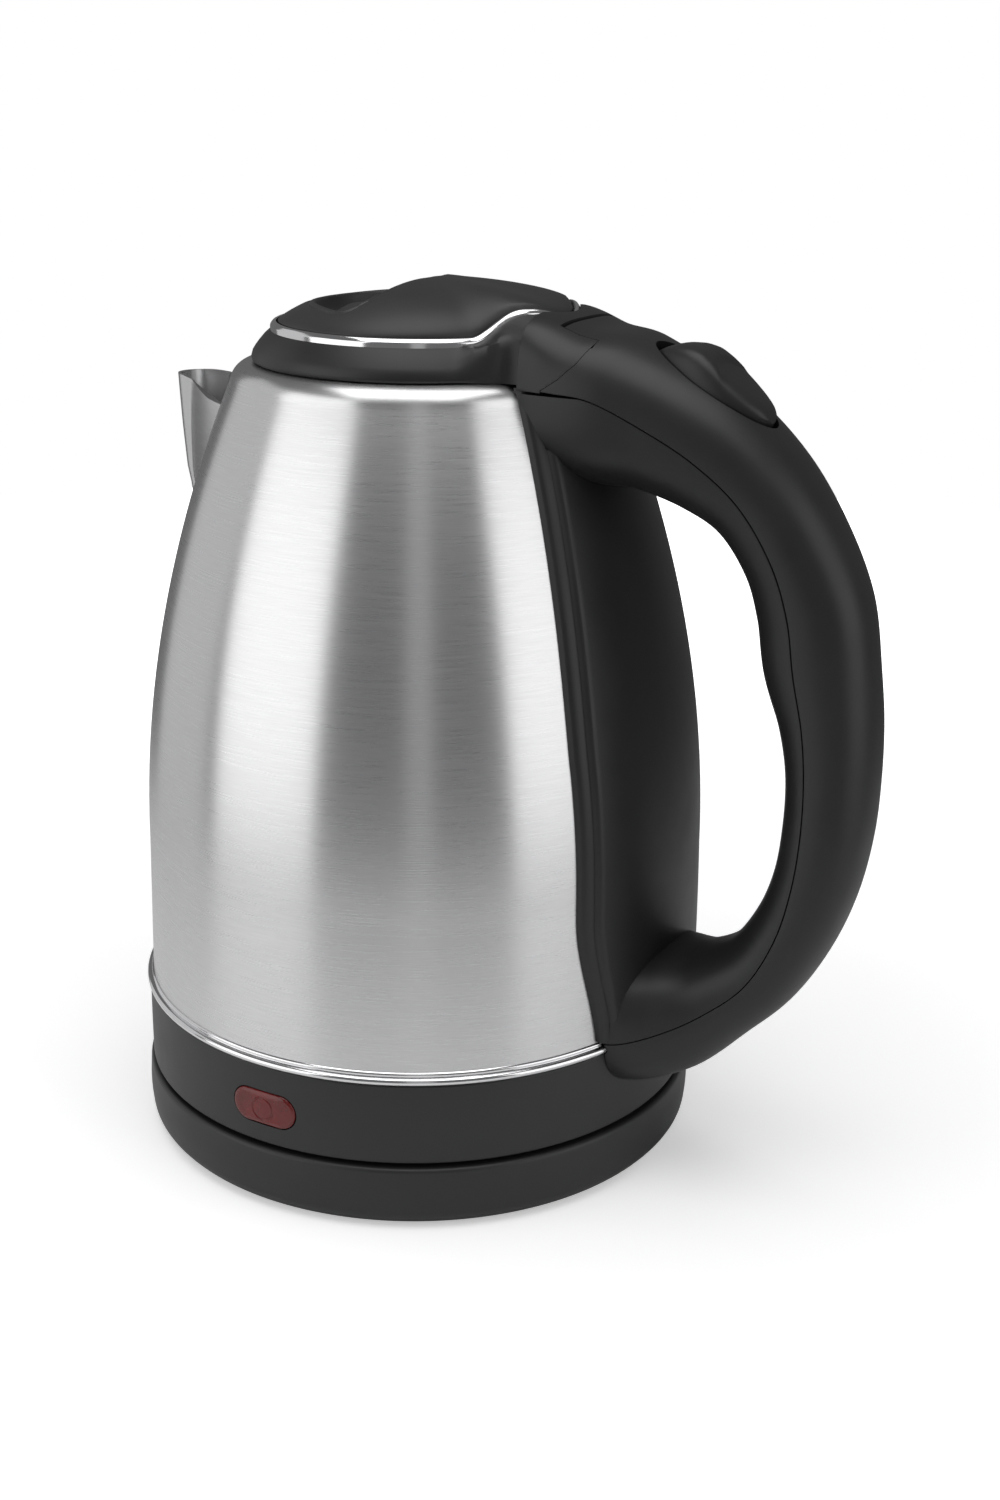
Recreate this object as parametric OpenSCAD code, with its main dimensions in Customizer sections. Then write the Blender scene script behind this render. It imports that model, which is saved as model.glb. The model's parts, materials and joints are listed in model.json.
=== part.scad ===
// Electric kettle on a cordless power base.
// Origin: kettle axis at the level of the table. +X handle, -X spout, -Y lamp, +Z up.

/* [Power base] */
// Largest radius of the power base
base_r = 79.3; // [78.6:0.1:81]
// Height of the power base
base_h = 18; // [17.6:0.1:18.4]
// Wall thickness of the moulded plastic shells
plastic_wall = 2.2; // [2:0.1:2.4]
// Radius of the cord inlet
inlet_r = 3.8; // [3:0.1:4]
// Radius of the ring of rubber feet
feet_ring_r = 62; // [58:1:64]

/* [Steel body] */
// Outer radius of the body at its foot
body_r = 76.2; // [75.8:0.1:76.6]
// Height at which the body starts to draw in
draw_z = 85; // [84:0.5:86]
// How fast the body draws in, per millimetre squared
draw_rate = 0.00165; // [0.0016:0.00001:0.0017]
// Thickness of the steel sheet
sheet = 0.8; // [0.6:0.1:0.9]
// Height of the body's top
body_top = 216.4; // [216:0.1:216.8]

/* [Lower housing] */
// Outer radius of the lower housing
housing_r = 78.1; // [78:0.1:78.3]
// Top of the lower housing
housing_top = 42; // [41.8:0.1:42.2]
// Width of the indicator lens
lens_w = 20; // [18:0.5:21]
// Height of the indicator lens
lens_h = 10; // [9:0.5:10.5]

/* [Lid] */
// Radius of the lid's edge
lid_r = 36.8; // [36.4:0.1:37]
// How far the lid's rear nose stands past that radius
lid_nose = 7.6; // [7.4:0.1:7.8]
// Height of the lid's crest
lid_top = 239; // [238:0.5:240]
// Height of the lid's edge at the front
lid_edge_z = 227; // [226.6:0.1:227.2]

/* [Spout] */
// How far the spout's tip stands from the axis
spout_reach = 79.5; // [79:0.5:82]
// Height of the spout's rim
spout_rim_z = 207; // [206:0.5:207]
// Half width of the spout's mouth at the body
spout_half_w = 28; // [26:0.5:28]

/* [Hidden] */
$fn = 96;
gap = 0.3;
deck_z = base_h - 1.4;
feet_h = 2.2;
foot_r = 5.5;
centre_pad_r = 9;
plate_h = 2;
base_foot_z = 0.9;
plate_r = base_r - 5.3;
base_screw_ring_r = 44;
tower_r = 14;
tower_top = 30;
tower_flange_r = 24;
pin_hole_r = 3.4;
slot_r_in = 7;
slot_r_out = 9.6;
slot_floor_z = 18;
kettle_z = 19.2;
cover_h = 2;
socket_wall = 1.8;
socket_inner_r = 15.2;
socket_outer_r = 20;
socket_top = 33;
cover_hole_r = socket_outer_r + 0.6;
bottom_screw_ring_r = 58;
ring_r = 1.05;
ring_z = 43.2;
ring_out = 0.35;
boil_z = 46.2;
boil_h = 1.2;
spreader_h = 3.4;
spreader_r = 52;
element_r = 44;
element_tube_r = 3.2;
element_sweep = 300;
control_z = socket_top + 0.4;
control_h = boil_z - spreader_h - control_z;
disc_ring_r = 19;
lamp_z = 29.8;
lamp_r = 2.9;
panel_lift = 3.9;
lid_front_seat_z = 214;
liner_r = 33;
hinge_x = 38;
hinge_z = 233;
hinge_pin_r = 0.6;
hinge_knuckle_r = 1.2;
hinge_half_w = 8;
hinge_post_half_w = 2.4;
hinge_post_foot_z = 218;
lid_arm = 4.5;
pin_play = 0.05;
mouth_r = 39.3;
lip_r = 39;
spout_hole_z = 178;
spout_hole_h = 22;
spout_hole_half_w = 14;
steam_z = 210;
bottom_screw_start = 90;
lid_screw_r = 22;
handle_screw_x = 111.6;
HANDLE_SCREW_Z = [104, 120];
trip_x = -3;
trip_z = -7;
trip_pin_r = 0.75;
switch_tilt = 25.3;
rocker_x = 86;
rocker_z = 216.4;
rocker_pin_r = 1.2;
rocker_half_l = 17.4;
rocker_half_w = 9.6;
collar_r = 44;
collar_inner_r = 37.6;
lid_gap = 0.5;
trim_far = 2.1;
trim_h = 2.4;
tab_half_w = 13.5;
tab_front_x = 50;
spout_foot_z = 122;
element_z = boil_z - spreader_h - element_tube_r;
ring_flange_r = body_r + 1.35;
ring_flange_z = 45.4;
ring_top_z = 46.2;
shoulder_z = 212;
shoulder_r = body_r - draw_rate * pow(shoulder_z - draw_z, 2);

// Handle stations along its loop: x, z, half depth, half width, seam shift, squareness
HANDLE = [
    [30, 214, 20.5, 20.5, 2, 4],
    [42, 213, 20, 23.2, 2.5, 3.8],
    [52, 211.5, 18.3, 24, 3.6, 3.2],
    [62, 209.5, 19, 23.5, 4.6, 2.7],
    [74, 206.5, 17, 21, 2.4, 2.5],
    [88, 200.5, 15.3, 18.5, 0.8, 2.4],
    [100.5, 191.5, 13.5, 16.3, -0.4, 2.35],
    [110, 178.5, 13.3, 15, -1.2, 2.3],
    [115.6, 165, 14.2, 14.3, -2, 2.3],
    [118.2, 151, 14.3, 14, -2.3, 2.3],
    [121.6, 137, 12.6, 14, -2.6, 2.3],
    [123.2, 123, 11.4, 14, -2.8, 2.3],
    [122.9, 108, 11, 14, -2.6, 2.3],
    [120.6, 93, 10.6, 14, -2, 2.3],
    [115.6, 79, 10.6, 14.3, -0.6, 2.3],
    [107.5, 65.8, 11.2, 15.2, 0.6, 2.35],
    [97, 56.8, 13, 18, 1.2, 2.4],
    [87, 51, 16.5, 22, 1.5, 2.6],
    [77, 47.5, 18, 25.5, 2, 2.8],
    [68, 46, 18, 26, 2, 2.8]
];
// The finger recess's edge in plan on one side, from its front to the middle of the ridge: x, y
RECESS = [
    [-27.5, 0], [-27.2, 4.5], [-25.6, 10], [-22.3, 15.6], [-17.6, 20.9], [-12.4, 25.2], [-7.6, 28],
    [-4.2, 28.7], [-1.8, 27.2], [-0.4, 24.2], [0.9, 20.6], [2, 16.8], [3.2, 12.2], [4.8, 7],
    [6.6, 2.6], [7.2, 0]
];
recess_mid_x = -11;
recess_depth = 5.2;
recess_floor_z = 232.2;
// The switch leads' route through the handle: x, z
LEAD_ROUTE = [
    [84, 54], [98, 60], [109, 72], [117, 88], [121, 106], [121, 124], [119, 142], [115, 160], [110, 176],
    [102, 189], [95, 197]
];
lead_y = 5.6;
handle_sub = 3;
handle_sides = 28;

// ---- small helpers ----

function mix(a, b, t) = a + (b - a) * t;
function clamp01(t) = max(0, min(1, t));
function ramp(t) = let (u = clamp01(t)) u * u * (3 - 2 * u);
function signed_pow(v, p) = sign(v) * pow(abs(v), p);
function arc(cx, cy, r, a0, a1, n) =
    [for (i = [0:n]) let (a = mix(a0, a1, i / n)) [cx + r * cos(a), cy + r * sin(a)]];

// A smooth curve through four stations, at t between the middle two
function spline(p0, p1, p2, p3, t) =
    0.5 * (2 * p1 + (p2 - p0) * t + (2 * p0 - 5 * p1 + 4 * p2 - p3) * t * t
    + (3 * p1 - p0 - 3 * p2 + p3) * t * t * t);
function along(list, s) =
    let (
        last = len(list) - 1,
        i = min(floor(s), last - 1),
        t = s - i
    )
    spline(list[max(i - 1, 0)], list[i], list[i + 1], list[min(i + 2, last)], t);

// A closed skin through rings of equal length
module loft(rings) {
    n = len(rings[0]);
    last = len(rings) - 1;
    polyhedron(
        points = [for (r = rings) each r],
        faces = [
            [for (i = [0:n - 1]) i],
            [for (i = [0:n - 1]) last * n + n - 1 - i],
            for (k = [0:last - 1], i = [0:n - 1]) each [
                [k * n + i, (k + 1) * n + i, k * n + (i + 1) % n],
                [k * n + (i + 1) % n, (k + 1) * n + i, (k + 1) * n + (i + 1) % n]
            ]
        ]
    );
}

// A ring-shaped skin: the last ring joins the first
module loop_loft(rings) {
    n = len(rings[0]);
    m = len(rings);
    polyhedron(
        points = [for (r = rings) each r],
        faces = [
            for (k = [0:m - 1], i = [0:n - 1]) let (k2 = (k + 1) % m) each [
                [k * n + i, k2 * n + i, k * n + (i + 1) % n],
                [k * n + (i + 1) % n, k2 * n + i, k2 * n + (i + 1) % n]
            ]
        ]
    );
}

// Free-form pieces that are joined and cut as one smooth shell
module skin() {
    resize([0, 0, 0]) union() children();
}

// An outline in the X-Z plane, thickened across Y
module side_cut(outline, width) {
    rotate([90, 0, 0]) linear_extrude(height = width, center = true) polygon(outline);
}

// The same body set out on a ring round the axis
module around(count, r, start = 0) {
    for (i = [0:count - 1]) rotate([0, 0, start + i * 360 / count]) translate([r, 0, 0]) children();
}

// A round-headed screw, head down at z = 0, shank up
module screw(shank_r, head_r, length) {
    cylinder(r = head_r, h = 1.6);
    cylinder(r = shank_r, h = length);
}

// A thin lead swept through its points
module lead(points, r) {
    steps = 3 * (len(points) - 1);
    loft([
        for (k = [0:steps])
            let (
                p = along(points, k / 3),
                q = along(points, min(k / 3 + 0.05, len(points) - 1)),
                b = along(points, max(k / 3 - 0.05, 0)),
                d = (q - b) / norm(q - b),
                side = abs(d[1]) > 0.9 ? [1, 0, 0] : [0, 1, 0],
                u = cross(d, side) / norm(cross(d, side)),
                v = cross(d, u)
            )
            [for (i = [0:7]) p + r * (cos(i * 45) * u + sin(i * 45) * v)]
    ]);
}

// ---- shared shapes ----

// Outer radius of the steel body at a height
function steel_r(z) =
    z < draw_z ? body_r + (draw_z - z) * 0.02 : body_r - draw_rate * (z - draw_z) * (z - draw_z);

function steel_wall(inset) = concat(
    [for (z = [boil_z - 2:8:draw_z]) [steel_r(z) - inset, z]],
    [for (i = [1:15]) let (z = mix(draw_z, shoulder_z, i / 16)) [steel_r(z) - inset, z]],
    arc(shoulder_r - 5.4, body_top - 5.6, 5.6 - inset, 15, 90, 6)
);

// Everything that the handle has to stay outside of
module kettle_envelope() {
    rotate_extrude() polygon(concat(
        [[0, 10], [housing_r + gap, 10], [housing_r + gap, ring_z - 2]],
        arc(housing_r - ring_out, ring_z, ring_r + gap, -60, 50, 6),
        [[ring_flange_r + gap, ring_flange_z], [steel_r(ring_top_z) + gap, ring_top_z]],
        [for (p = steel_wall(-gap)) if (p[1] > ring_top_z) p],
        [[0, body_top + gap]]
    ));
}

// Lid outline: a circle with a nose towards the handle, grown by some amount
function nose_share(a) = let (c = abs(a) < 34 ? cos(a * 90 / 34) : 0) c * c;
function wrap(a) = a - 360 * round(a / 360);
function edge_r(a, grow) = lid_r + grow + lid_nose * nose_share(wrap(a));
// Height of the lid's edge: level in front, up over the handle root at the rear
function edge_z(a) =
    let (b = abs(wrap(a)))
    lid_edge_z + 6.6 * ramp((38 - b) / 20) - 2.2 * (1 - ramp(b / 16));
function edge_point(a, grow, dz) =
    [edge_r(a, grow) * cos(a), edge_r(a, grow) * sin(a), edge_z(a) + dz];

// One cross section of the handle, drawn in by the inset
function handle_ring(s, inset) =
    let (
        p = along(HANDLE, s),
        q = along(HANDLE, min(s + 0.05, len(HANDLE) - 1)),
        b = along(HANDLE, max(s - 0.05, 0)),
        dx = q[0] - b[0],
        dz = q[1] - b[1],
        d = norm([dx, dz]),
        nx = -dz / d,
        nz = dx / d
    )
    [
        for (i = [0:handle_sides - 1])
            let (
                a = -i * 360 / handle_sides,
                u = (p[2] - inset) * signed_pow(cos(a), 2 / p[5]),
                w = (p[3] - inset) * signed_pow(sin(a), 2 / p[5])
            )
            [p[0] + nx * u, w, p[1] + nz * u]
    ];
module handle_form(inset) {
    steps = handle_sub * (len(HANDLE) - 1);
    loft([for (k = [0:steps]) handle_ring(k / handle_sub, inset)]);
}
// The parting line between the handle's two shells
function seam_point(s, shift) =
    let (
        p = along(HANDLE, s),
        q = along(HANDLE, min(s + 0.05, len(HANDLE) - 1)),
        b = along(HANDLE, max(s - 0.05, 0)),
        d = norm([q[0] - b[0], q[1] - b[1]])
    )
    [p[0] - (q[1] - b[1]) / d * (p[4] + shift), p[1] + (q[0] - b[0]) / d * (p[4] + shift)];
function seam_line(shift) =
    [for (k = [2 * handle_sub:handle_sub * (len(HANDLE) - 1) - 1]) seam_point((k + 0.5) / handle_sub, shift)];
// Where the collar's root ends and the outer shell begins
root_line = [[50, 215.6], [54.5, 218.6], [58.6, 222.6], [60.6, 227], [60.6, 250]];
module outer_side(shift) {
    side_cut(concat(
        [for (p = root_line) p + [shift, 0]], [[160, 250], [160, 0], [60, 0]],
        [for (k = [0:len(seam_line(shift)) - 1]) seam_line(shift)[len(seam_line(shift)) - 1 - k]]
    ), 80);
}
module tab_block(grow) {
    translate([tab_front_x - grow, -tab_half_w - grow, 222]) cube([12, 2 * (tab_half_w + grow), 20]);
}

// The rocker's own frame: pivot at the origin, +X down the slope of the handle
module at_rocker() {
    translate([rocker_x, 0, rocker_z]) rotate([0, switch_tilt, 0]) children();
}

// ---- power base ----

module base_cover() {
    color([0.11, 0.11, 0.115]) difference() {
        union() {
            rotate_extrude() polygon(concat(
                [[plate_r + 0.3, base_foot_z]],
                arc(base_r - 3, base_foot_z + 2.6, 2.6, -90, -20, 5),
                [[base_r, 9.6]],
                arc(base_r - 2.1, base_h - 1.2, 1.2, 0, 90, 5),
                [
                    [base_r - 6, base_h], [base_r - 9, deck_z], [tower_r + 2, deck_z],
                    [tower_r + 2, deck_z - plastic_wall], [base_r - 8, deck_z - plastic_wall],
                    [base_r - plastic_wall - 0.6, base_h - plastic_wall - 1],
                    [base_r - plastic_wall, 9.6], [plate_r + 0.6, feet_h + plate_h],
                    [plate_r + 0.3, feet_h + plate_h]
                ]
            ));
            intersection() {
                translate([0, base_r - 13, 9]) rotate([-90, 0, 0]) cylinder(r = inlet_r + 2.4, h = 14);
                translate([0, 0, feet_h + plate_h + 0.1]) cylinder(r = base_r - 1, h = deck_z - 5);
            }
        }
        translate([0, base_r - 14, 9]) rotate([-90, 0, 0]) cylinder(r = inlet_r, h = 20);
    }
}

module base_plate() {
    color([0.12, 0.12, 0.125]) difference() {
        translate([0, 0, feet_h]) cylinder(r = plate_r, h = plate_h);
        around(3, base_screw_ring_r, 60) cylinder(r = 1.7, h = 10);
    }
}

// Four feet near the edge and a pad under the connector, which carries the kettle's weight
module base_feet() {
    color([0.2, 0.2, 0.2]) {
        around(4, feet_ring_r, 45) cylinder(r = foot_r, h = feet_h);
        cylinder(r = centre_pad_r, h = feet_h);
    }
}

module base_screws() {
    color([0.62, 0.62, 0.64]) around(3, base_screw_ring_r, 60)
        translate([0, 0, feet_h - 1.6]) screw(1.6, 2.9, 12);
}

module base_connector() {
    color([0.09, 0.09, 0.09]) difference() {
        union() {
            rotate_extrude() polygon(concat(
                [[0, 12], [tower_flange_r, 12], [tower_flange_r, 14], [tower_r, 14]],
                arc(tower_r - 1.5, tower_top - 1.5, 1.5, 0, 90, 5),
                [[0, tower_top]]
            ));
            around(3, base_screw_ring_r, 60) translate([-21.5, -2, 12]) cube([21.5, 4, 2]);
            around(3, base_screw_ring_r, 60) translate([0, 0, 5]) cylinder(r = 3.4, h = 9);
        }
        around(3, base_screw_ring_r, 60) cylinder(r = 1.7, h = 12.7);
        translate([0, 0, slot_floor_z]) difference() {
            cylinder(r = slot_r_out, h = 20);
            cylinder(r = slot_r_in, h = 20);
        }
        translate([0, 0, slot_floor_z]) cylinder(r = pin_hole_r, h = 20);
    }
}

module base_contacts() {
    color([0.78, 0.6, 0.3]) translate([0, 0, slot_floor_z]) {
        difference() {
            cylinder(r = pin_hole_r, h = 8);
            translate([0, 0, 0.6]) cylinder(r = pin_hole_r - 0.7, h = 10);
        }
        difference() {
            cylinder(r = slot_r_out, h = 7);
            translate([0, 0, -1]) cylinder(r = slot_r_out - 0.7, h = 10);
        }
    }
}

module cord_clamp() {
    color([0.13, 0.13, 0.13]) translate([0, base_r - 22, feet_h + plate_h]) difference() {
        translate([-12, -4, 0]) cube([24, 8, 3.4]);
        translate([0, 0, 4.8]) rotate([90, 0, 0]) cylinder(r = inlet_r - 0.6, h = 20, center = true);
        for (x = [-8.4, 8.4]) translate([x, 0, -1]) cylinder(r = 1.5, h = 8);
    }
}

// ---- coupler between base and kettle ----

module kettle_socket() {
    color([0.1, 0.1, 0.1]) rotate_extrude() polygon([
        [socket_inner_r, kettle_z + 0.4], [socket_outer_r, kettle_z + 0.4], [socket_outer_r, socket_top],
        [0, socket_top], [0, socket_top - socket_wall], [socket_inner_r, socket_top - socket_wall]
    ]);
}

module socket_contacts() {
    color([0.8, 0.62, 0.32]) {
        translate([0, 0, 21]) cylinder(r = 2.2, h = socket_top - socket_wall - 21);
        translate([0, 0, 22]) difference() {
            cylinder(r = 8.4, h = socket_top - socket_wall - 22);
            translate([0, 0, -1]) cylinder(r = 7.6, h = 20);
        }
    }
}

// ---- kettle foot ----

module bottom_cover() {
    color([0.12, 0.12, 0.125]) difference() {
        translate([0, 0, kettle_z]) cylinder(r = housing_r - plastic_wall - 0.1, h = cover_h);
        cylinder(r = cover_hole_r, h = 40);
        around(3, bottom_screw_ring_r, bottom_screw_start) cylinder(r = 1.8, h = 40);
    }
}

module bottom_screws() {
    color([0.62, 0.62, 0.64]) around(3, bottom_screw_ring_r, bottom_screw_start)
        translate([0, 0, kettle_z - 1.6]) screw(1.7, 2.8, 20);
}

module lens_outline(shrink) {
    w = lens_w - 2 * shrink;
    h = lens_h - 2 * shrink;
    square([w - h, h], center = true);
    for (s = [-1, 1]) translate([s * (w - h) / 2, 0]) circle(r = h / 2);
}
module lens_prism(shrink) {
    translate([0, -60, lamp_z]) rotate([90, 0, 0]) linear_extrude(height = 30) lens_outline(shrink);
}

module lower_housing() {
    color([0.12, 0.12, 0.125]) difference() {
        union() {
            rotate_extrude() polygon(concat(
                [[housing_r - plastic_wall, kettle_z]],
                arc(housing_r - 1.2, kettle_z + 1.2, 1.2, -90, 0, 4),
                [
                    [housing_r, 31], [housing_r - 0.2, housing_top], [housing_r - 4.5, housing_top],
                    [housing_r - 4.5, housing_top - 1.6], [housing_r - plastic_wall - 0.2, housing_top - 2.6]
                ]
            ));
            around(3, bottom_screw_ring_r, bottom_screw_start) difference() {
                translate([0, 0, kettle_z + cover_h]) cylinder(r = 3.6, h = 17);
                translate([0, 0, kettle_z]) cylinder(r = 1.8, h = 19);
            }
            around(3, bottom_screw_ring_r, bottom_screw_start) translate([3.2, -1, kettle_z + cover_h + 4])
                cube([housing_r - bottom_screw_ring_r - 4.6, 2, 13]);
        }
        lens_prism(0);
    }
}

module seam_ring() {
    color([0.86, 0.86, 0.88]) rotate_extrude() polygon(concat(
        [[steel_r(44) - 1.6, housing_top + 0.1]],
        arc(housing_r - ring_out, ring_z, ring_r, -75, 75, 8),
        [
            [ring_flange_r, 44.3], [ring_flange_r, ring_flange_z - 0.2],
            [steel_r(ring_top_z) + 0.1, ring_top_z - 0.4], [steel_r(44) + 0.05, 44.1]
        ]
    ));
}

// The hole for the steam tube, through the body's wall and the handle's back panel
module steam_hole() {
    translate([30, 0, steam_z]) rotate([0, 90, 0]) cylinder(r = 4.3, h = 36);
}

module steel_body() {
    color([0.78, 0.78, 0.8]) difference() {
        rotate_extrude() polygon(concat(
            steel_wall(0), [[mouth_r, body_top], [mouth_r, body_top - sheet]],
            [for (i = [len(steel_wall(sheet)) - 1:-1:0]) steel_wall(sheet)[i]]
        ));
        translate([-90, -spout_hole_half_w, spout_hole_z]) cube([60, 2 * spout_hole_half_w, spout_hole_h]);
        steam_hole();
    }
}

// The space that the spout's two flanks enclose, drawn in by some amount
module spout_wedge(inset, rim_drop) {
    tip_x = spout_reach - inset * 1.6;
    half = spout_half_w - inset;
    low = spout_foot_z + inset * 3;
    high = spout_rim_z - rim_drop;
    foot_x = steel_r(low) + 0.6;
    skin() hull() {
        translate([-20, 0, high - 0.5]) linear_extrude(height = 0.5)
            polygon([
                [20 - tip_x, 0.8], [20 - tip_x, -0.8], [-26, -half], [0, -half], [0, half], [-26, half]
            ]);
        translate([-foot_x, -0.8, low]) cube([10, 1.6, 0.5]);
        translate([1.2 - tip_x, -0.8, mix(low, high, 0.72)]) cube([10, 1.6, 0.5]);
    }
}

module spout() {
    color([0.78, 0.78, 0.8]) skin() difference() {
        spout_wedge(0, 0);
        spout_wedge(sheet + 0.2, -1);
        kettle_envelope();
    }
}

// The scale filter lies against the inside of the wall, over the spout's hole
module spout_filter() {
    low = spout_hole_z - 3;
    high = spout_hole_z + spout_hole_h + 3;
    half_w = spout_hole_half_w + 3;
    zs = [for (i = [0:4]) mix(low, high, i / 4)];
    color([0.85, 0.85, 0.83]) difference() {
        intersection() {
            rotate_extrude() polygon(concat(
                [for (z = zs) [steel_r(z) - sheet - 2, z]],
                [for (i = [4:-1:0]) [steel_r(zs[i]) - sheet - 0.1, zs[i]]]
            ));
            translate([-90, -half_w, 0]) cube([60, 2 * half_w, 250]);
        }
        for (i = [-5:5]) translate([-90, i * 2.5 - 0.7, spout_hole_z + 1]) cube([60, 1.4, spout_hole_h - 2]);
    }
}

// ---- heater ----

module boiling_plate() {
    color([0.74, 0.74, 0.75]) translate([0, 0, boil_z])
        cylinder(r = steel_r(boil_z) - sheet - 0.12, h = boil_h);
}

module heat_spreader() {
    color([0.7, 0.7, 0.71]) translate([0, 0, boil_z - spreader_h]) cylinder(r = spreader_r, h = spreader_h);
}

module heating_element() {
    color([0.45, 0.45, 0.44]) translate([0, 0, element_z]) rotate([0, 0, 30])
        rotate_extrude(angle = element_sweep) translate([element_r, 0]) circle(r = element_tube_r);
}

module element_pins() {
    color([0.75, 0.75, 0.72]) translate([0, 0, element_z]) for (s = [0, 1]) {
        rotate([0, 0, 30 + s * element_sweep]) translate([element_r, s == 0 ? -7 : 0, 0])
            rotate([-90, 0, 0]) cylinder(r = 1.4, h = 7);
    }
}

module control_unit() {
    color([0.9, 0.9, 0.87]) difference() {
        translate([0, 0, control_z]) union() {
            cylinder(r = 30, h = control_h);
            for (a = [0, 120, 240]) rotate([0, 0, a]) translate([24, -4, 0]) cube([12, 8, 3]);
        }
        for (a = [60, 300]) rotate([0, 0, a]) translate([disc_ring_r, 0, control_z + control_h - 1])
            cylinder(r = 9.6, h = 3);
    }
}

module bimetal_discs() {
    color([0.7, 0.62, 0.5]) for (a = [60, 300]) rotate([0, 0, a])
        translate([disc_ring_r, 0, control_z + control_h - 0.9]) cylinder(r = 9, h = 0.6);
}

// ---- indicator ----

module indicator_lens() {
    color([0.5, 0.06, 0.05, 0.8]) intersection() {
        difference() {
            cylinder(r = housing_r + 0.5, h = 60);
            translate([0, 0, -1]) cylinder(r = housing_r - plastic_wall, h = 80);
        }
        lens_prism(0.15);
    }
}

module indicator_lamp() {
    color([0.9, 0.35, 0.25]) translate([0, -74.5, lamp_z]) rotate([-90, 0, 0]) cylinder(r = lamp_r, h = 12);
}

module lamp_holder() {
    color([0.88, 0.88, 0.86]) difference() {
        union() {
            translate([-5, -68, lamp_z - 5]) cube([10, 6, 10]);
            translate([-5, -64, kettle_z + cover_h]) cube([10, 2, 4]);
        }
        translate([0, -80, lamp_z]) rotate([-90, 0, 0]) cylinder(r = lamp_r, h = 40);
    }
}

module lamp_leads() {
    color([0.8, 0.25, 0.2]) for (s = [-1, 1])
        lead([[s * 1.4, -62.2, lamp_z], [s * 2, -54, lamp_z + 2], [s * 5, -42, 32], [s * 6, -36, 35],
            [s * 6, -30, 36.4]], 0.8);
}

// ---- handle ----

// The black back panel that covers the body behind the handle, as half its width at each height
function panel_half_w(z) =
    z > 84 ? mix(33.6, 22.6, pow(clamp01((z - 125) / 92), 1.5)) : mix(27, 33.6, ramp((z - 40) / 42));
module panel_outline() {
    zs = [for (i = [0:16]) mix(ring_z + 2.4, body_top - 1.2, i / 16)];
    polygon(concat(
        [for (z = zs) [panel_half_w(z), z]],
        [for (i = [len(zs) - 1:-1:0]) [-panel_half_w(zs[i]), zs[i]]]
    ));
}
module back_panel() {
    intersection() {
        rotate_extrude() polygon(concat(
            [for (i = [0:17]) let (z = mix(ring_z + 2.4, 209, i / 17)) [steel_r(z) - 1, z]],
            [for (i = [17:-1:0]) let (z = mix(ring_z + 2.4, 209, i / 17)) [steel_r(z) + panel_lift, z]]
        ));
        rotate([90, 0, 90]) linear_extrude(height = 120) panel_outline();
    }
}

module handle_outer() {
    color([0.15, 0.15, 0.155]) skin() difference() {
        union() {
            difference() {
                intersection() {
                    handle_form(0);
                    union() {
                        outer_side(0.15);
                        intersection() {
                            tab_block(0);
                            translate([0, -40, 226]) cube([100, 80, 30]);
                        }
                    }
                }
                handle_form(plastic_wall);
            }
            intersection() {
                handle_form(1);
                at_handle_screws() translate([0, 0, 3.1]) cylinder(r = 3, h = 30);
            }
        }
        at_handle_screws() cylinder(r = 1.6, h = 14.2);
        kettle_envelope();
        at_rocker() rocker_window(0.4);
    }
}

module handle_inner() {
    color([0.13, 0.13, 0.135]) skin() difference() {
        union() {
            difference() {
                handle_form(0);
                outer_side(-0.15);
                handle_form(plastic_wall);
                translate([0, -50, body_top - 2]) cube([64, 100, 40]);
            }
            back_panel();
        }
        kettle_envelope();
        translate([40, -40, body_top - 1.6]) cube([12, 80, 40]);
        steam_hole();
        at_handle_screws() translate([0, 0, -4]) cylinder(r = 2.8, h = 5.62);
        at_handle_screws() cylinder(r = 1.6, h = 12);
    }
}

module at_handle_screws() {
    for (z = HANDLE_SCREW_Z) translate([handle_screw_x, 0, z]) rotate([0, 90, 0]) children();
}
module handle_screws() {
    color([0.62, 0.62, 0.64]) at_handle_screws() screw(1.5, 2.7, 14);
}

module switch_leads() {
    color([0.8, 0.8, 0.78]) for (s = [-1, 1])
        lead([for (p = LEAD_ROUTE) [p[0], s * lead_y, p[1]]], 0.9);
}

// ---- collar and trim ----

module collar_ring() {
    rotate_extrude() polygon(concat(
        [
            [36.8, body_top - 2.4], [lip_r, body_top - 2.4], [lip_r, body_top + 0.05],
            [collar_r - 1.2, body_top + 0.05]
        ],
        arc(collar_r - 1.3, body_top + 1.35, 1.3, -60, 20, 4),
        arc(31.6, 213, 13, 29, 62, 6),
        [[36.8, lid_edge_z - 2.4]]
    ));
}
module collar_root() {
    difference() {
        intersection() {
            handle_form(0);
            translate([24, -40, body_top - 1.4]) cube([40, 80, 30]);
        }
        outer_side(-0.15);
        tab_block(0.3);
        kettle_envelope();
    }
}
// The well that the lid drops into
module lid_well(floor_z) {
    loft([
        for (z = [floor_z, lid_top + 20]) [
            for (i = [0:71]) let (a = i * 5, r = edge_r(a, lid_gap)) [r * cos(a), r * sin(a), z]
        ]
    ]);
}
// A band that follows the lid's edge, from one radius to another
module edge_band(near, far, low, high) {
    loop_loft([
        for (i = [0:71]) let (a = -i * 5) [
            edge_point(a, near, low), edge_point(a, far, low), edge_point(a, far, high - 0.2),
            edge_point(a, far - 0.3, high), edge_point(a, near, high)
        ]
    ]);
}
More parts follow.
